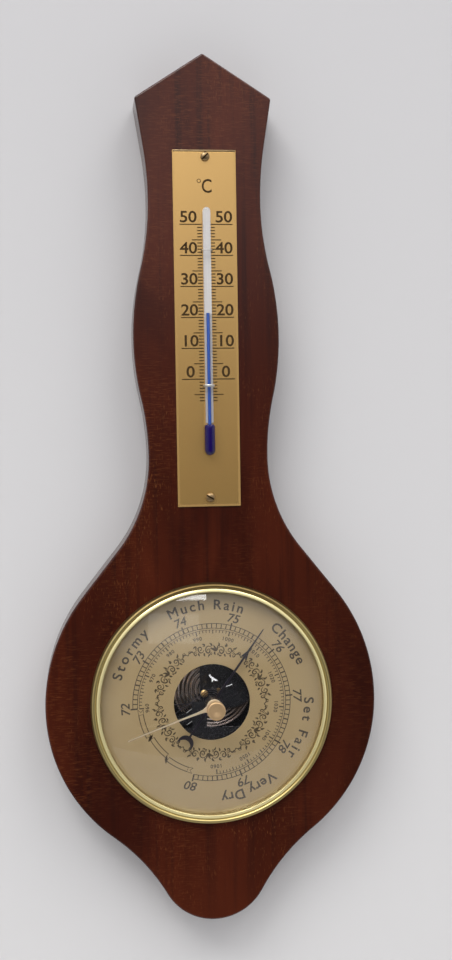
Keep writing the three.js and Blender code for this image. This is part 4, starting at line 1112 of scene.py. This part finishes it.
for (name, angle), z in zip(SCREW_SLOTS.items(), PLATE_SCREW_Z):
    # Painted shade: a dark slip at the bottom of each slot.
    painted_slot_shade = slot_bar(z, half=0.9 * SCREW_R, thick=0.8, low=0.1, high=0.4, angle=angle)
    slot = slot_bar(z, half=2 * SCREW_R, thick=0.84, low=0.25, high=2, angle=angle)
    domed = placed((spin, screw_profile, 36, SCALE_X, z))
    piece(name + "_slot_shade", painted_slot_shade, plate_ink, slot="polished_brass")
    piece(name + "_domed", domed, dark_brass, name, slot="polished_brass", cutters=[slot])

# %% [markdown]
# The thermometer tube is thick glass with a fine bore and a strip of white enamel fused in behind it,
# which is why the dyed thread reads so clearly. Thread and enamel lie inside one solid rod of glass, so
# that it magnifies both. The bulb is dark because the dye there is several millimetres deep.

# %% Thermometer tube
TUBE_HEIGHT = 28.2
STEM_R = 2.1
BULB_R = 2.8
BULB_LOW = 134.8
STEM_LOW = 151.5
STEM_HIGH = 266.8
tube_profile = (
    quarter(BULB_R, BULB_R, 0, BULB_LOW + BULB_R, -90, 0)
    + quarter(BULB_R - STEM_R, 1.6, STEM_R, STEM_LOW - 1.8, 0, 90, 5)
    + quarter(STEM_R, STEM_R, 0, STEM_HIGH - STEM_R, 0, 90)
)
piece(
    "thermometer_tube", placed((spin_upright, tube_profile, SCALE_X, TUBE_HEIGHT)), tube_glass,
    "thermometer_glass", slot="clear_glass", sharp=50,
)
ENAMEL_HALF = 1.62
enamel_strip = placed((
    block, SCALE_X - ENAMEL_HALF, SCALE_X + ENAMEL_HALF, STEM_LOW + 0.5, STEM_HIGH - 0.9,
    TUBE_HEIGHT - 1.12, TUBE_HEIGHT - 0.82,
))
rounded(enamel_strip, 1.45, 0.05, 1)
piece("tube_enamel", enamel_strip, enamel, slot="clear_glass")

# %% Dyed spirit in the tube
BULB_IN = 2.2
THREAD_R = 0.62
THREAD_LOW = STEM_LOW - 0.3
THREAD_TOP = 210.75
bulb_profile = (
    quarter(BULB_IN, BULB_IN, 0, BULB_LOW + BULB_R, -90, 0)
    + quarter(BULB_IN - THREAD_R, 1.4, THREAD_R, STEM_LOW - 1.7, 0, 90, 5)
    + [[0, THREAD_LOW]]
)
piece(
    "spirit_in_bulb", placed((spin_upright, bulb_profile, SCALE_X, TUBE_HEIGHT, 32)), bulb_spirit,
    "thermometer_spirit", slot="blue_spirit",
)
thread_profile = [[0, THREAD_LOW], [THREAD_R, THREAD_LOW], [THREAD_R, THREAD_TOP - 0.15], [0, THREAD_TOP]]
piece(
    "spirit_thread", placed((spin_upright, thread_profile, SCALE_X, TUBE_HEIGHT, 24)), thread_spirit,
    "thermometer_spirit", slot="blue_spirit",
)

# %% [markdown]
# Two wire staples hold the tube. Each is one circle that is pushed out of the plate, swung half a turn
# over the tube, and pushed back in. The lower one is squeezed flat, about twice as tall as its wire.

# %% Wire clips
WIRE_R = 0.35
STAPLE_FOOT = 19
STAPLE_RISE = TUBE_HEIGHT - STAPLE_FOOT
STAPLE_X = SCALE_X + STEM_R + 0.3 + WIRE_R


def staple(shape, z, tall):
    """Wire over the tube and through the plate, flattened where it is taller than wide."""
    foot = Matrix.Translation(at(STAPLE_X, z, STAPLE_FOOT)) @ Matrix.Diagonal((1, 1, tall, 1))
    bmesh.ops.create_circle(
        shape, cap_ends=True, segments=14, radius=WIRE_R * MM, matrix=foot @ FACING_FRONT,
    )
    raised = extruded(shape, shape.faces[:], STAPLE_RISE)
    bow = bmesh.ops.spin(
        shape, geom=only(raised, bmesh.types.BMFace), cent=at(SCALE_X, z, TUBE_HEIGHT), axis=(0, 0, 1),
        angle=-math.pi, steps=20,
    )["geom_last"]
    extruded(shape, only(bow, bmesh.types.BMFace), -STAPLE_RISE)


for name, z, tall in (("tube_clip_lower", 171.97, 2.1), ("tube_clip_upper", 243.91, 1.0)):
    piece(name + "_wire", placed((staple, z, tall)), pale_wire, name, slot="zinc_sheet")

# %% [markdown]
# The bezel is spun brass: a round outer bead, a fine groove, and a bright inner ring that leans outwards
# and laps the glass. Each has its own section of short arcs, spun round the dial's axis, because the
# bead has dulled with age while the ring stayed bright. The bead's brass is also darker towards the top,
# as painted shade.

# %% Bezel
SIGHT_R = 61.0
LIP = 25.6
bead_profile = (
    [[64.0, 24.3], [65.9, 24.1], [66.0, 24.4], [65.5, 25.3]]
    + quarter(1.3, 1.5, 64.2, 25.9, -10, 150, 14)
    + [[62.95, 26.1], [62.9, 24.6], [64.0, 24.3]]
)
ring_profile = [
    [62.88, 25.0], [62.88, 26.55], [62.7, 26.85], [61.5, 27.2], [61.15, 27.2], [SIGHT_R, 27.05],
    [SIGHT_R, LIP], [SIGHT_R + 0.6, LIP], [62.5, 25.2], [62.88, 25.0],
]
piece("bezel_bead", placed((spin, bead_profile, 192)), polished_brass, "bezel", sharp=60)
piece("bezel_ring", placed((spin, ring_profile, 192)), ring_brass, "bezel", slot="polished_brass", sharp=45)

# %% [markdown]
# The glass is a shallow dome, ground round at its rim, with a hole for the spindle of the set hand. It is
# two parallel arcs, spun. Two millimetres of real thickness give it the right double reflection.

# %% Domed glass and its spacer
GLASS_R = 62.2
GLASS_TOP = 36.3
GLASS_THICK = 2.0
DOME_RISE = 11.0
DOME_R = (SIGHT_R**2 + DOME_RISE**2) / (2 * DOME_RISE)
SPINDLE_HOLE = 1.5
RINGS = 30


def dome(radius):
    """Height of the glass's outer face at a radius."""
    return GLASS_TOP - DOME_R + math.sqrt(DOME_R**2 - radius**2)


radii = [SPINDLE_HOLE + (GLASS_R - SPINDLE_HOLE) * i / RINGS for i in range(RINGS + 1)]
glass_profile = [[r, dome(r)] for r in radii] + [[r, dome(r) - GLASS_THICK] for r in reversed(radii)]
glass_profile.append(glass_profile[0])
piece("dial_glass", placed((spin, glass_profile, 160)), dome_glass, "glass", slot="clear_glass", sharp=50)
spacer_profile = collar(60.7, GLASS_R, 21.3, dome(GLASS_R) - GLASS_THICK - 0.3)
piece("spacer_ring", placed((spin, spacer_profile, 160)), dull_brass, "glass_spacer", slot="polished_brass")

# %% [markdown]
# The dial is lacquered sheet with an open centre, so the movement shows. Its edge at the hole is turned,
# which leaves it a narrow slope. The print is laid in polar coordinates, each letter bent round its circle.

# %% Dial sheet
DIAL_FACE = 21.0
DIAL_BACK = 20.3
HOLE_R = 20.8
TURNED = 0.12
dial_profile = [
    [HOLE_R + TURNED, DIAL_BACK], [GLASS_R, DIAL_BACK], [GLASS_R, DIAL_FACE], [HOLE_R + TURNED, DIAL_FACE],
    [HOLE_R, DIAL_FACE - TURNED], [HOLE_R, DIAL_BACK + TURNED], [HOLE_R + TURNED, DIAL_BACK],
]
piece("dial_sheet", placed((spin, dial_profile, 160)), dial_gold, "dial", even=True)


def bent(radius, clock, slant=0.0):
    """Places lettering round the dial, its baseline on a circle and its tops outwards."""
    return lambda a, b: at(*polar(radius + b, clock + math.degrees((a + slant * b) / radius)), DIAL_FACE)


def ring(shape, radius, width, first, last):
    """A printed arc round the dial, in steps of three degrees."""
    inner, outer = radius - width / 2, radius + width / 2
    start = joined(shape, [at(*polar(inner, first), DIAL_FACE), at(*polar(outer, first), DIAL_FACE)])
    bmesh.ops.spin(
        shape, geom=start, cent=at(0, 0), axis=(0, 1, 0), angle=math.radians(last - first),
        steps=round((last - first) / 3),
    )


def ray(shape, clock, inner, outer, width):
    """A printed radial line."""
    tick(shape, *polar(inner, clock), *polar(outer, clock), width, DIAL_FACE)


# %% Scales of pressure
SCALE_START = -93
CM_DEGREES = 36.0
CM_RADII = (40.45, 43.0)
CM_MARKS = [(44.3, 0.80), (43.0, 0.70), (43.0, 0.50)]
MB_DEGREES = 2.7
MB_R = 39.5
MB_MARKS = [(37.0, 0.62), (37.5, 0.50), (38.0, 0.40)]
cm_print = bmesh.new()
ring(cm_print, CM_RADII[1], 0.38, SCALE_START, SCALE_START + 8 * CM_DEGREES)
ring(cm_print, CM_RADII[0], 0.34, SCALE_START, SCALE_START + 8 * CM_DEGREES)
for tenth in range(81):
    outer, width = CM_MARKS[grade(tenth)]
    ray(cm_print, SCALE_START + CM_DEGREES * tenth / 10, CM_RADII[0], outer, width)
for step, value in enumerate(range(72, 81)):
    clock = SCALE_START + CM_DEGREES * step
    lay(cm_print, letters(str(value), 4.5, 1.0, 0.09), bent(44.8, clock, slant=0.16))
printed("scale_centimetres", cm_print, dial_ink, "dial_gold")

mb_print = bmesh.new()
ring(mb_print, MB_R, 0.24, SCALE_START, SCALE_START + 100 * MB_DEGREES)
for step in range(101):
    inner, width = MB_MARKS[grade(step)]
    ray(mb_print, SCALE_START + MB_DEGREES * step, inner, MB_R, width)
for value in range(960, 1061, 10):
    clock = SCALE_START + MB_DEGREES * (value - 960)
    lay(mb_print, letters(str(value), 1.95, 1.15, 0.05), bent(34.3, clock))
printed("scale_millibars", mb_print, dial_ink, "dial_gold")

# %% [markdown]
# Weather words stand outside the scale. They are plain English ones, each centred on its own pressure and
# spaced out to the length of its part of the scale.

# %% Weather words
WORDS = {
    "Stormy": (302, 1.40),
    "Much Rain": (357, 1.30),
    "Change": (54, 1.16),
    "Set Fair": (108, 1.40),
    "Very Dry": (158, 1.08),
}
word_print = bmesh.new()
for word, (clock, spacing) in WORDS.items():
    lay(word_print, letters(word, 5.1, spacing, 0.14), bent(50.8, clock))
printed("weather_words", word_print, dial_ink, "dial_gold")

# %% [markdown]
# Round the opening runs a printed border of scrolls and leaves, as many such dials have. Every line of it
# is a stroke: one short edge, carried from point to point by extrusion, that swells and thins like a pen's.
# Six like groups of strokes fill the circle, each a pair of scrolls, some leaves and a stem to the next.

# %% Strokes of a pen


def stroke(shape, points, level=DIAL_FACE):
    """Draws along points of [x, z, width]."""
    places = [Vector((x, z)) for x, z, _ in points]
    edge, left = None, None
    for i, (x, z, width) in enumerate(points):
        way = (places[min(i + 1, len(places) - 1)] - places[max(i - 1, 0)]).normalized()
        across = Vector((-way.y, way.x)) * width / 2
        sides = [at(*(places[i] + across), level), at(*(places[i] - across), level)]
        if edge is None:
            corners = [shape.verts.new(side) for side in sides]
            edge, left = shape.edges.new(corners), corners[0]
            continue
        made = bmesh.ops.extrude_edge_only(shape, edges=[edge])["geom"]
        fresh = only(made, bmesh.types.BMVert)
        near = next(v for v in fresh if any(e.other_vert(v) is left for e in v.link_edges))
        far = next(v for v in fresh if v is not near)
        near.co, far.co = sides
        edge = next(e for e in near.link_edges if e.other_vert(near) is far)
        left = near


SPREAD = 1.28
LEAF_BEND = 0.125


def on_circle(radius, clock, u, v, width):
    """A point u along and v out from a place on a circle."""
    return (*polar(radius + v * SPREAD, clock + math.degrees(u / radius)), width * SPREAD)


def scroll(shape, home, u, v, first, turns, big, small, width):
    """A spiral that winds inwards and ends in a dot; angles in turns."""
    steps = max(8, round(abs(turns) * 14))
    points = []
    for i in range(steps + 1):
        share = i / steps
        turn = math.tau * (first + turns * share)
        reach = big + (small - big) * share ** 0.8
        swell = width * (0.45 + 0.75 * math.sin(math.pi * min(1, share * 1.15)))
        points.append(on_circle(*home, u + reach * math.cos(turn), v + reach * math.sin(turn), swell))
    stroke(shape, points)
    dot_x, dot_z, _ = points[-1]
    bmesh.ops.create_circle(
        shape, cap_ends=True, segments=8, radius=width * 0.8 * MM,
        matrix=Matrix.Translation(at(dot_x, dot_z, DIAL_FACE)) @ FACING_FRONT,
    )


def leaf_mark(shape, home, u, v, turn, length, width):
    """A pointed leaf, slightly bent, that starts at a point and heads along a turn."""
    points = []
    for i in range(7):
        share = i / 6
        heading = math.tau * (turn + LEAF_BEND * (share - 0.5))
        swell = 0.08 + width * math.sin(math.pi * share ** 0.75)
        reach = length * share
        points.append(on_circle(*home, u + reach * math.cos(heading), v + reach * math.sin(heading), swell))
    stroke(shape, points)


# %% Scrolled border
BORDER_R = 29.0
GROUPS = 6
HALF_GROUP = math.pi * BORDER_R / GROUPS
STEM_START = 11.6
border = bmesh.new()
for group in range(GROUPS):
    home = (BORDER_R, 360 * group / GROUPS + 4)
    for turn in (0.12, 0.25, 0.38):
        leaf_mark(border, home, 0, -0.9, turn, 2.9, 0.85)
    leaf_mark(border, home, 0, -1.0, -0.25, 1.6, 0.7)
    for side in (-1, 1):
        flip = 0 if side > 0 else 0.5
        scroll(border, home, side * 3.6, -0.4, flip + side * 0.42, -side * 1.35, 2.1, 0.4, 0.50)
        scroll(border, home, side * 7.8, 0.5, flip + side * 0.55, side * 1.25, 1.9, 0.4, 0.46)
        scroll(border, home, side * 11.0, -0.9, flip + side * 0.45, -side * 1.1, 1.25, 0.35, 0.40)
        for u, v, turn, length, width in (
            (1.7, 1.2, 0.20, 1.9, 0.75), (5.2, 1.5, 0.16, 1.8, 0.70), (5.9, -1.3, -0.19, 1.6, 0.65),
            (9.4, 1.7, 0.05, 2.0, 0.75), (9.2, -0.8, -0.22, 1.5, 0.65), (12.0, 0.1, 0.10, 1.9, 0.60),
            (2.6, -2.2, -0.06, 1.8, 0.60),
        ):
            leaf_mark(border, home, side * u, v, turn if side > 0 else 0.5 - turn, length, width)
        for u, v, big in ((5.7, 2.0, 0.75), (1.9, -1.9, 0.7), (9.9, 0.9, 0.7), (13.6, 0.8, 0.8)):
            scroll(border, home, side * u, v, 0.1 * u, -side * 0.9, big, 0.25, 0.30)
        stem = []
        for i in range(9):
            u = STEM_START + (HALF_GROUP - STEM_START) * i / 8
            stem.append(on_circle(*home, side * u, math.sin(math.pi * i / 8) - 0.3, 0.34))
        stroke(border, stem)
printed("scrolled_border", border, brown_ink, "dial_gold")

# %% [markdown]
# At the lower left lies an empty ribbon in three lengths, each drawn as two lines with a dark fold between
# them. It ends in a swallow's tail at either side.

# %% Ribbon
RIBBON = [(262.0, 243.0, 39.0), (240.5, 221.5, 37.7), (219.0, 201.0, 38.8)]
TAILS = [(262.0, 39.0, 1), (201.0, 38.8, -1)]
TAIL_LINE = 0.26
ribbon = bmesh.new()
for first, last, middle in RIBBON:
    for v in (-1.25, 1.25):
        stroke(ribbon, [(*polar(middle + v, first + (last - first) * i / 10), 0.46) for i in range(11)])
    for clock in (first, last):
        stroke(ribbon, [(*polar(middle + v, clock), 0.24) for v in (-1.35, 1.35)])
for before, after in zip(RIBBON, RIBBON[1:]):
    start, end = before[1], after[0]
    for i in range(5):
        clock = start + (end - start) * (i + 0.5) / 5
        low = after[2] - 1.3 + i * 0.3
        stroke(ribbon, [(*polar(low, clock + 0.5), 0.4), (*polar(low + 2.6, clock - 0.7), 0.6)])
for clock, middle, way in TAILS:
    for v in (-1, 1):
        root = (*polar(middle + 1.3 * v, clock), TAIL_LINE)
        tip = (*polar(middle + 1.5 * v, clock + 4.2 * way), TAIL_LINE)
        notch = (*polar(middle, clock + 1.9 * way), TAIL_LINE)
        stroke(ribbon, [root, tip])
        stroke(ribbon, [tip, notch])
printed("empty_ribbon", ribbon, brown_ink, "dial_gold")

# %% [markdown]
# The movement starts with the capsule: two thin corrugated discs joined at their rims, from which the air
# has been drawn. Each corrugation rises gently outwards and falls off steeply. One wave is a short list
# of heights, repeated along the radius and spun round the capsule's own axis.

# %% Capsule
CAPSULE = (1.6, 4.7)
CAPSULE_R = 21.6
CAPSULE_FACE = 10.7
CAPSULE_DEPTH = 1.9
FLAT_R = 7.6
RIM_R = 20.4
WAVES = 6
WAVE = [(0.10, -0.42), (0.20, -0.32), (0.42, 0.06), (0.50, 0.12), (0.60, 0.12), (0.72, -0.12), (0.84, -0.40)]
PITCH = (RIM_R - FLAT_R) / WAVES
DISC_SHEET = 0.15
line = [[0, CAPSULE_FACE], [FLAT_R - 0.4, CAPSULE_FACE]]
for wave in range(WAVES):
    for share, lift in WAVE:
        radius = FLAT_R + (wave + share) * PITCH
        line.append([radius, CAPSULE_FACE - CAPSULE_DEPTH * (radius - FLAT_R) / (RIM_R - FLAT_R) + lift])
line += [[RIM_R, CAPSULE_FACE - CAPSULE_DEPTH], [CAPSULE_R, CAPSULE_FACE - CAPSULE_DEPTH]]
under = [[r, h - DISC_SHEET] for r, h in reversed(line)]
# The capsule's dark_nickel is darker towards its right side, as painted shade.
piece(
    "capsule_front_disc", placed((spin, line + under, 120, *CAPSULE)), dark_nickel, "capsule_front",
    body="capsule_body", slot="black_lacquer", sharp=60,
)
eased("capsule_back", dark_nickel, 0.1, sharp=60)
eased("base_plate", black_lacquer, 0.2, sharp=60)

post = bmesh.new()
spin(post, [[0, 11.0], [1.6, 11.0], [1.6, 11.9], [1.0, 11.9], [1.0, 13.3], [0, 13.3]], 28, *CAPSULE)
bmesh.ops.create_cone(
    post, cap_ends=True, segments=6, radius1=2.2 * MM, radius2=2.2 * MM, depth=0.9 * MM,
    matrix=Matrix.Translation(at(*CAPSULE, 13.75)) @ FACING_FRONT,
)
ease(post, 0.12, sharp=40)
piece("capsule_nut", post, black_lacquer, "capsule_post", body="capsule_body", slot="polished_brass")

# %% [markdown]
# A broad leaf spring holds the capsule open against the air. It is a flat plate with rounded corners and a
# tongue at its right, clamped there under a bridge and two screws, and it carries the lever arm at its left.

# %% Leaf spring and its bridge
LEAF_BACK = 12.2
LEAF_FACE = 13.0
LEAF_EDGE = [
    (-5.9, 1.6), (-5.0, -5.2), (11.5, -5.2), (15.5, -4.4), (19.0, -2.6), (21.5, -0.4), (24.0, 1.4),
    (24.0, 20.5), (-5.6, 20.5),
]
leaf = placed((stamp, LEAF_EDGE, LEAF_BACK, LEAF_FACE))
rounded(leaf, 1.2, 0.2)
piece(
    "leaf_spring", leaf, black_lacquer, "mainspring", body="spring_body", even=True,
    cutters=[drill(1.3, *CAPSULE, 11, 14), drill(1.4, -3.6, 3.6, 11, 14)],
)
tongue = placed((block, 23.6, 33.0, -5.2, 14.6, LEAF_BACK, LEAF_FACE))
ease(tongue, 0.2, 3)
piece(
    "leaf_tongue", tongue, black_lacquer, "mainspring", body="spring_body", even=True,
    cutters=[drill(1.4, 28.95, z, 11, 14) for z in (-2.3, 11.7)],
)
eased("spring_bridge", black_lacquer, 0.2)
for name in ("bridge_screw_upper", "bridge_screw_lower"):
    eased(name, bright_steel, 0.1)

# %% Bright strips for painted glints, and a darkened rivet on the leaf
# Painted highlights: bright steel strips, tilted to mirror the sky, stand in for glints on the leaf.
GLINT_LEVEL = LEAF_FACE + 0.75
GLINT_TILT = Matrix.Rotation(math.radians(-18), 3, "X")
GLINT_STROKES = [
    [(-0.5, 13.6, 0.7), (0.4, 12.3, 0.9), (1.4, 11.4, 1.2), (2.6, 10.7, 1.0), (3.9, 10.2, 0.6)],
    [(1.4, 11.6, 1.1), (1.1, 10.6, 0.8), (0.9, 9.6, 0.5)],
    [(6.0, 5.9, 0.35), (8.2, 6.8, 0.5), (10.2, 7.2, 0.35), (12.0, 7.9, 0.5)],
]
for number, way in enumerate(GLINT_STROKES, 1):
    glint_strip = bmesh.new()
    stroke(glint_strip, way, GLINT_LEVEL)
    extruded(glint_strip, glint_strip.faces[:], 0.2)
    x, z, _ = way[len(way) // 2]
    bmesh.ops.rotate(glint_strip, verts=glint_strip.verts, cent=at(x, z, GLINT_LEVEL), matrix=GLINT_TILT)
    name = f"leaf_clip_{number}"
    piece(name, glint_strip, glint_steel, body="spring_body", slot="bright_steel", sharp=30)
# Painted shade: the rivet's brass is darkened for the shade it lies in.
rivet = placed((spin, [[0, 12.6], [1.5, 12.6], [1.5, 13.35], [1.3, 13.5], [0, 13.5]], 24, 4.4, 4.6))
piece("leaf_rivet", rivet, dark_rivet, body="spring_body", slot="polished_brass")

# %% Lever arm and its stud
STUD = (-3.6, 3.6)
LINK = (-24.9, -10.5)
ARM_LEVEL = 14.2
rod_start = at(*STUD, ARM_LEVEL)
rod_end = at(*LINK, ARM_LEVEL)
heading = (rod_end - rod_start).normalized()
arm = placed(
    (rod_between, rod_start + heading * 1.7 * MM, rod_end, 0.3),
    (spin, collar(1.4, 2.1, 13.6, 14.8), 28, *STUD),
    (spin, disc(1.2, 13.6, 14.8), 24, *LINK),
)
piece("lever_arm_rod", arm, blued_steel, "lever_arm", body="spring_body", slot="bright_steel")

BLADE_FACE = 13.9
BLADE = [
    (-4.4, 1.8), (-4.6, -0.6), (-13.5, -7.0), (-24.0, -9.3), (-26.0, -11.0), (-24.5, -12.6), (-13.4, -13.6),
    (-7.0, -9.1), (-3.2, -4.0), (-2.6, 1.8),
]
blade = placed((stamp, BLADE, 13.4, BLADE_FACE))
piece("lever_blade", blade, black_lacquer, body="spring_body", sharp=30)
# Painted highlights: bright steel rods along the blade's edges stand in for its edge glints.
edges = placed(
    (rod_between, at(-4.5, -0.5, BLADE_FACE), at(-13.5, -7.0, BLADE_FACE), 0.2, 10),
    (rod_between, at(-6.8, -9.0, BLADE_FACE), at(-13.4, -13.6, BLADE_FACE), 0.13, 10),
)
piece("lever_blade_glints", edges, bright_steel, body="spring_body")

STUD_HIGH = 15.1
stud_profile = quarter(2.1, 0.7, 0, STUD_HIGH + 0.3, 90, 0, 9) + [
    [2.1, STUD_HIGH], [1.1, STUD_HIGH], [1.1, 13.3], [1.1, 12.2], [0, 12.2],
]
stud_slot = placed((block, STUD[0] - 3, STUD[0] + 3, STUD[1] - 0.3, STUD[1] + 0.3, STUD_HIGH + 0.5, 17))
piece(
    "lever_stud_head", placed((spin, stud_profile, 32, *STUD)), warm_brass, "lever_stud",
    body="spring_body", slot="polished_brass", cutters=[stud_slot],
)

# %% [markdown]
# The rest of the train is small pressed and turned work: the rocking shaft in its bracket, the link, the
# chain, and the cock that bears the arbor. Their forms are right already, so only their edges are eased.

# %% Train
CHAIN_LEVEL = 16.4
CHAIN_BEND = ("root", "rocker_body", at(-14.5, 0, CHAIN_LEVEL), at(-22.2, 0, CHAIN_LEVEL))
eased("shaft_bracket", dull_brass, 0.12)
for name in ("rocking_shaft", "link", "pointer_arbor"):
    eased(name, bright_steel, 0.06, sharp=50)
eased("chain", blued_steel, 0.05, sharp=60, body=CHAIN_BEND)
eased("hairspring", blued_steel, 0.02, sharp=60)
eased("hairspring_stud", dull_brass, 0.06, sharp=50)
eased("arbor_cock", black_lacquer, 0.15, sharp=50)
for side in ("left", "right"):
    eased(f"cock_pillar_{side}", black_lacquer, 0.12, sharp=60)
    eased(f"cock_screw_{side}", bright_steel, 0.06, sharp=50)

# %% [markdown]
# The pointer is thin blued steel: a needle with an arrow head near its tip and a crescent at its tail. The
# outline is drawn pointing up, stamped, and turned to its reading. The crescent is a disc with a bite.

# %% Pointer
POINTER_CLOCK = 35.6
POINTER_LOW = 24.2
POINTER_HIGH = 24.5


def both_sides(edge):
    """The right edge of a hand and then its mirror image; a point on the axis isn't repeated."""
    return edge + [[-x, z] for x, z in reversed(edge) if x]


needle_edge = [[0.55, -22.3], [0.77, 0], [0.55, 30.25], [2.1, 29.2], [0.55, 33.8], [0.28, 48.0], [0, 49.0]]
needle = placed(
    (stamp, both_sides(needle_edge), POINTER_LOW, POINTER_HIGH),
    (spin, disc(2.6, POINTER_LOW - 0.02, POINTER_HIGH + 0.02), 40),
)
moon = placed((spin, disc(4.4, POINTER_LOW, POINTER_HIGH), 60, 0, -26.0))
bite = drill(3.7, 0, -27.9, POINTER_LOW - 1, POINTER_HIGH + 1, 60)
for shape in (needle, moon, bite):
    turned(shape, POINTER_CLOCK)
piece("pointer_needle", needle, blued_steel, "pointer", body="pointer_body", sharp=30)
piece("pointer_crescent", moon, blued_steel, "pointer", body="pointer_body", sharp=30, cutters=[bite])

# %% [markdown]
# The set hand marks the last reading. It is brass, its blade drooping from the hub under the glass down
# towards the dial, and it turns with the knob outside, whose spindle passes through the glass.

# %% Set hand
SET_CLOCK = 252.2
HUB_HIGH = GLASS_TOP - GLASS_THICK - (GLASS_TOP - dome(5.5)) - 0.3
HUB_LOW = HUB_HIGH - 0.9
HUB_R = 4.2
DROOP = Matrix.Rotation(math.atan2(6.6, 42.5), 3, "X")
hand_edge = [[2.0, -1.2], [0.9, 1.6], [0.62, 5], [0.48, 12], [0.36, 20], [0.22, 45]]
hand = placed((stamp, both_sides(hand_edge), 0, 0.4))
bmesh.ops.rotate(hand, verts=hand.verts, cent=at(0, 0, 0), matrix=DROOP)
bmesh.ops.translate(hand, verts=hand.verts, vec=(0, -HUB_LOW * MM, 4.5 * MM))
hub_profile = [
    [0, HUB_LOW], [HUB_R - 0.5, HUB_LOW], [HUB_R, HUB_LOW + 0.4], [HUB_R, HUB_HIGH - 0.15],
    [HUB_R - 0.15, HUB_HIGH], [0, HUB_HIGH],
]
spin(hand, hub_profile, 56)
turned(hand, SET_CLOCK)
piece("set_hand_blade", hand, pale_brass, "set_hand", body="set_hand_body", slot="polished_brass", sharp=30)

# %% Knob and washer
WASHER_LOW = GLASS_TOP + 0.3
WASHER_HIGH = WASHER_LOW + 0.6
KNOB_LOW = WASHER_LOW + 0.9
KNOB_HIGH = KNOB_LOW + 7.4
KNOB_R = 4.85
knob_profile = (
    [[0, HUB_LOW - 0.5], [1.2, HUB_LOW - 0.5], [1.2, KNOB_LOW], [3.3, KNOB_LOW], [3.3, KNOB_LOW + 2.2]]
    + quarter(1.1, 1.5, KNOB_R, KNOB_LOW + 2.2, 180, 90, 6)[1:]
    + [[KNOB_R, KNOB_HIGH - 0.6]]
    + quarter(0.6, 0.6, KNOB_R - 0.6, KNOB_HIGH - 0.6, 0, 90, 5)[1:]
    + [[2.6, KNOB_HIGH - 0.05], [2.3, KNOB_HIGH - 0.12], [0.5, KNOB_HIGH - 0.12], [0, KNOB_HIGH - 0.3]]
)
piece(
    "knob_turned", placed((spin, knob_profile, 72)), knob_brass, "set_hand_knob",
    body="set_hand_body", slot="polished_brass",
)
piece(
    "washer_turned", placed((spin, collar(SPINDLE_HOLE, 3.6, WASHER_LOW, WASHER_HIGH), 48)), warm_brass,
    "knob_washer", body="set_hand_body", slot="polished_brass",
)

# %% [markdown]
# Last, the boxes of the plain and the dressed model are written down, so that the two can be compared,
# and the pieces are handed over.

# %% Nodes left plain
left_plain = [name for name, made in frame["nodes"].items() if not made.data.materials]
print("nodes without a finish:", left_plain)
scene.view_settings.view_transform = "Standard"
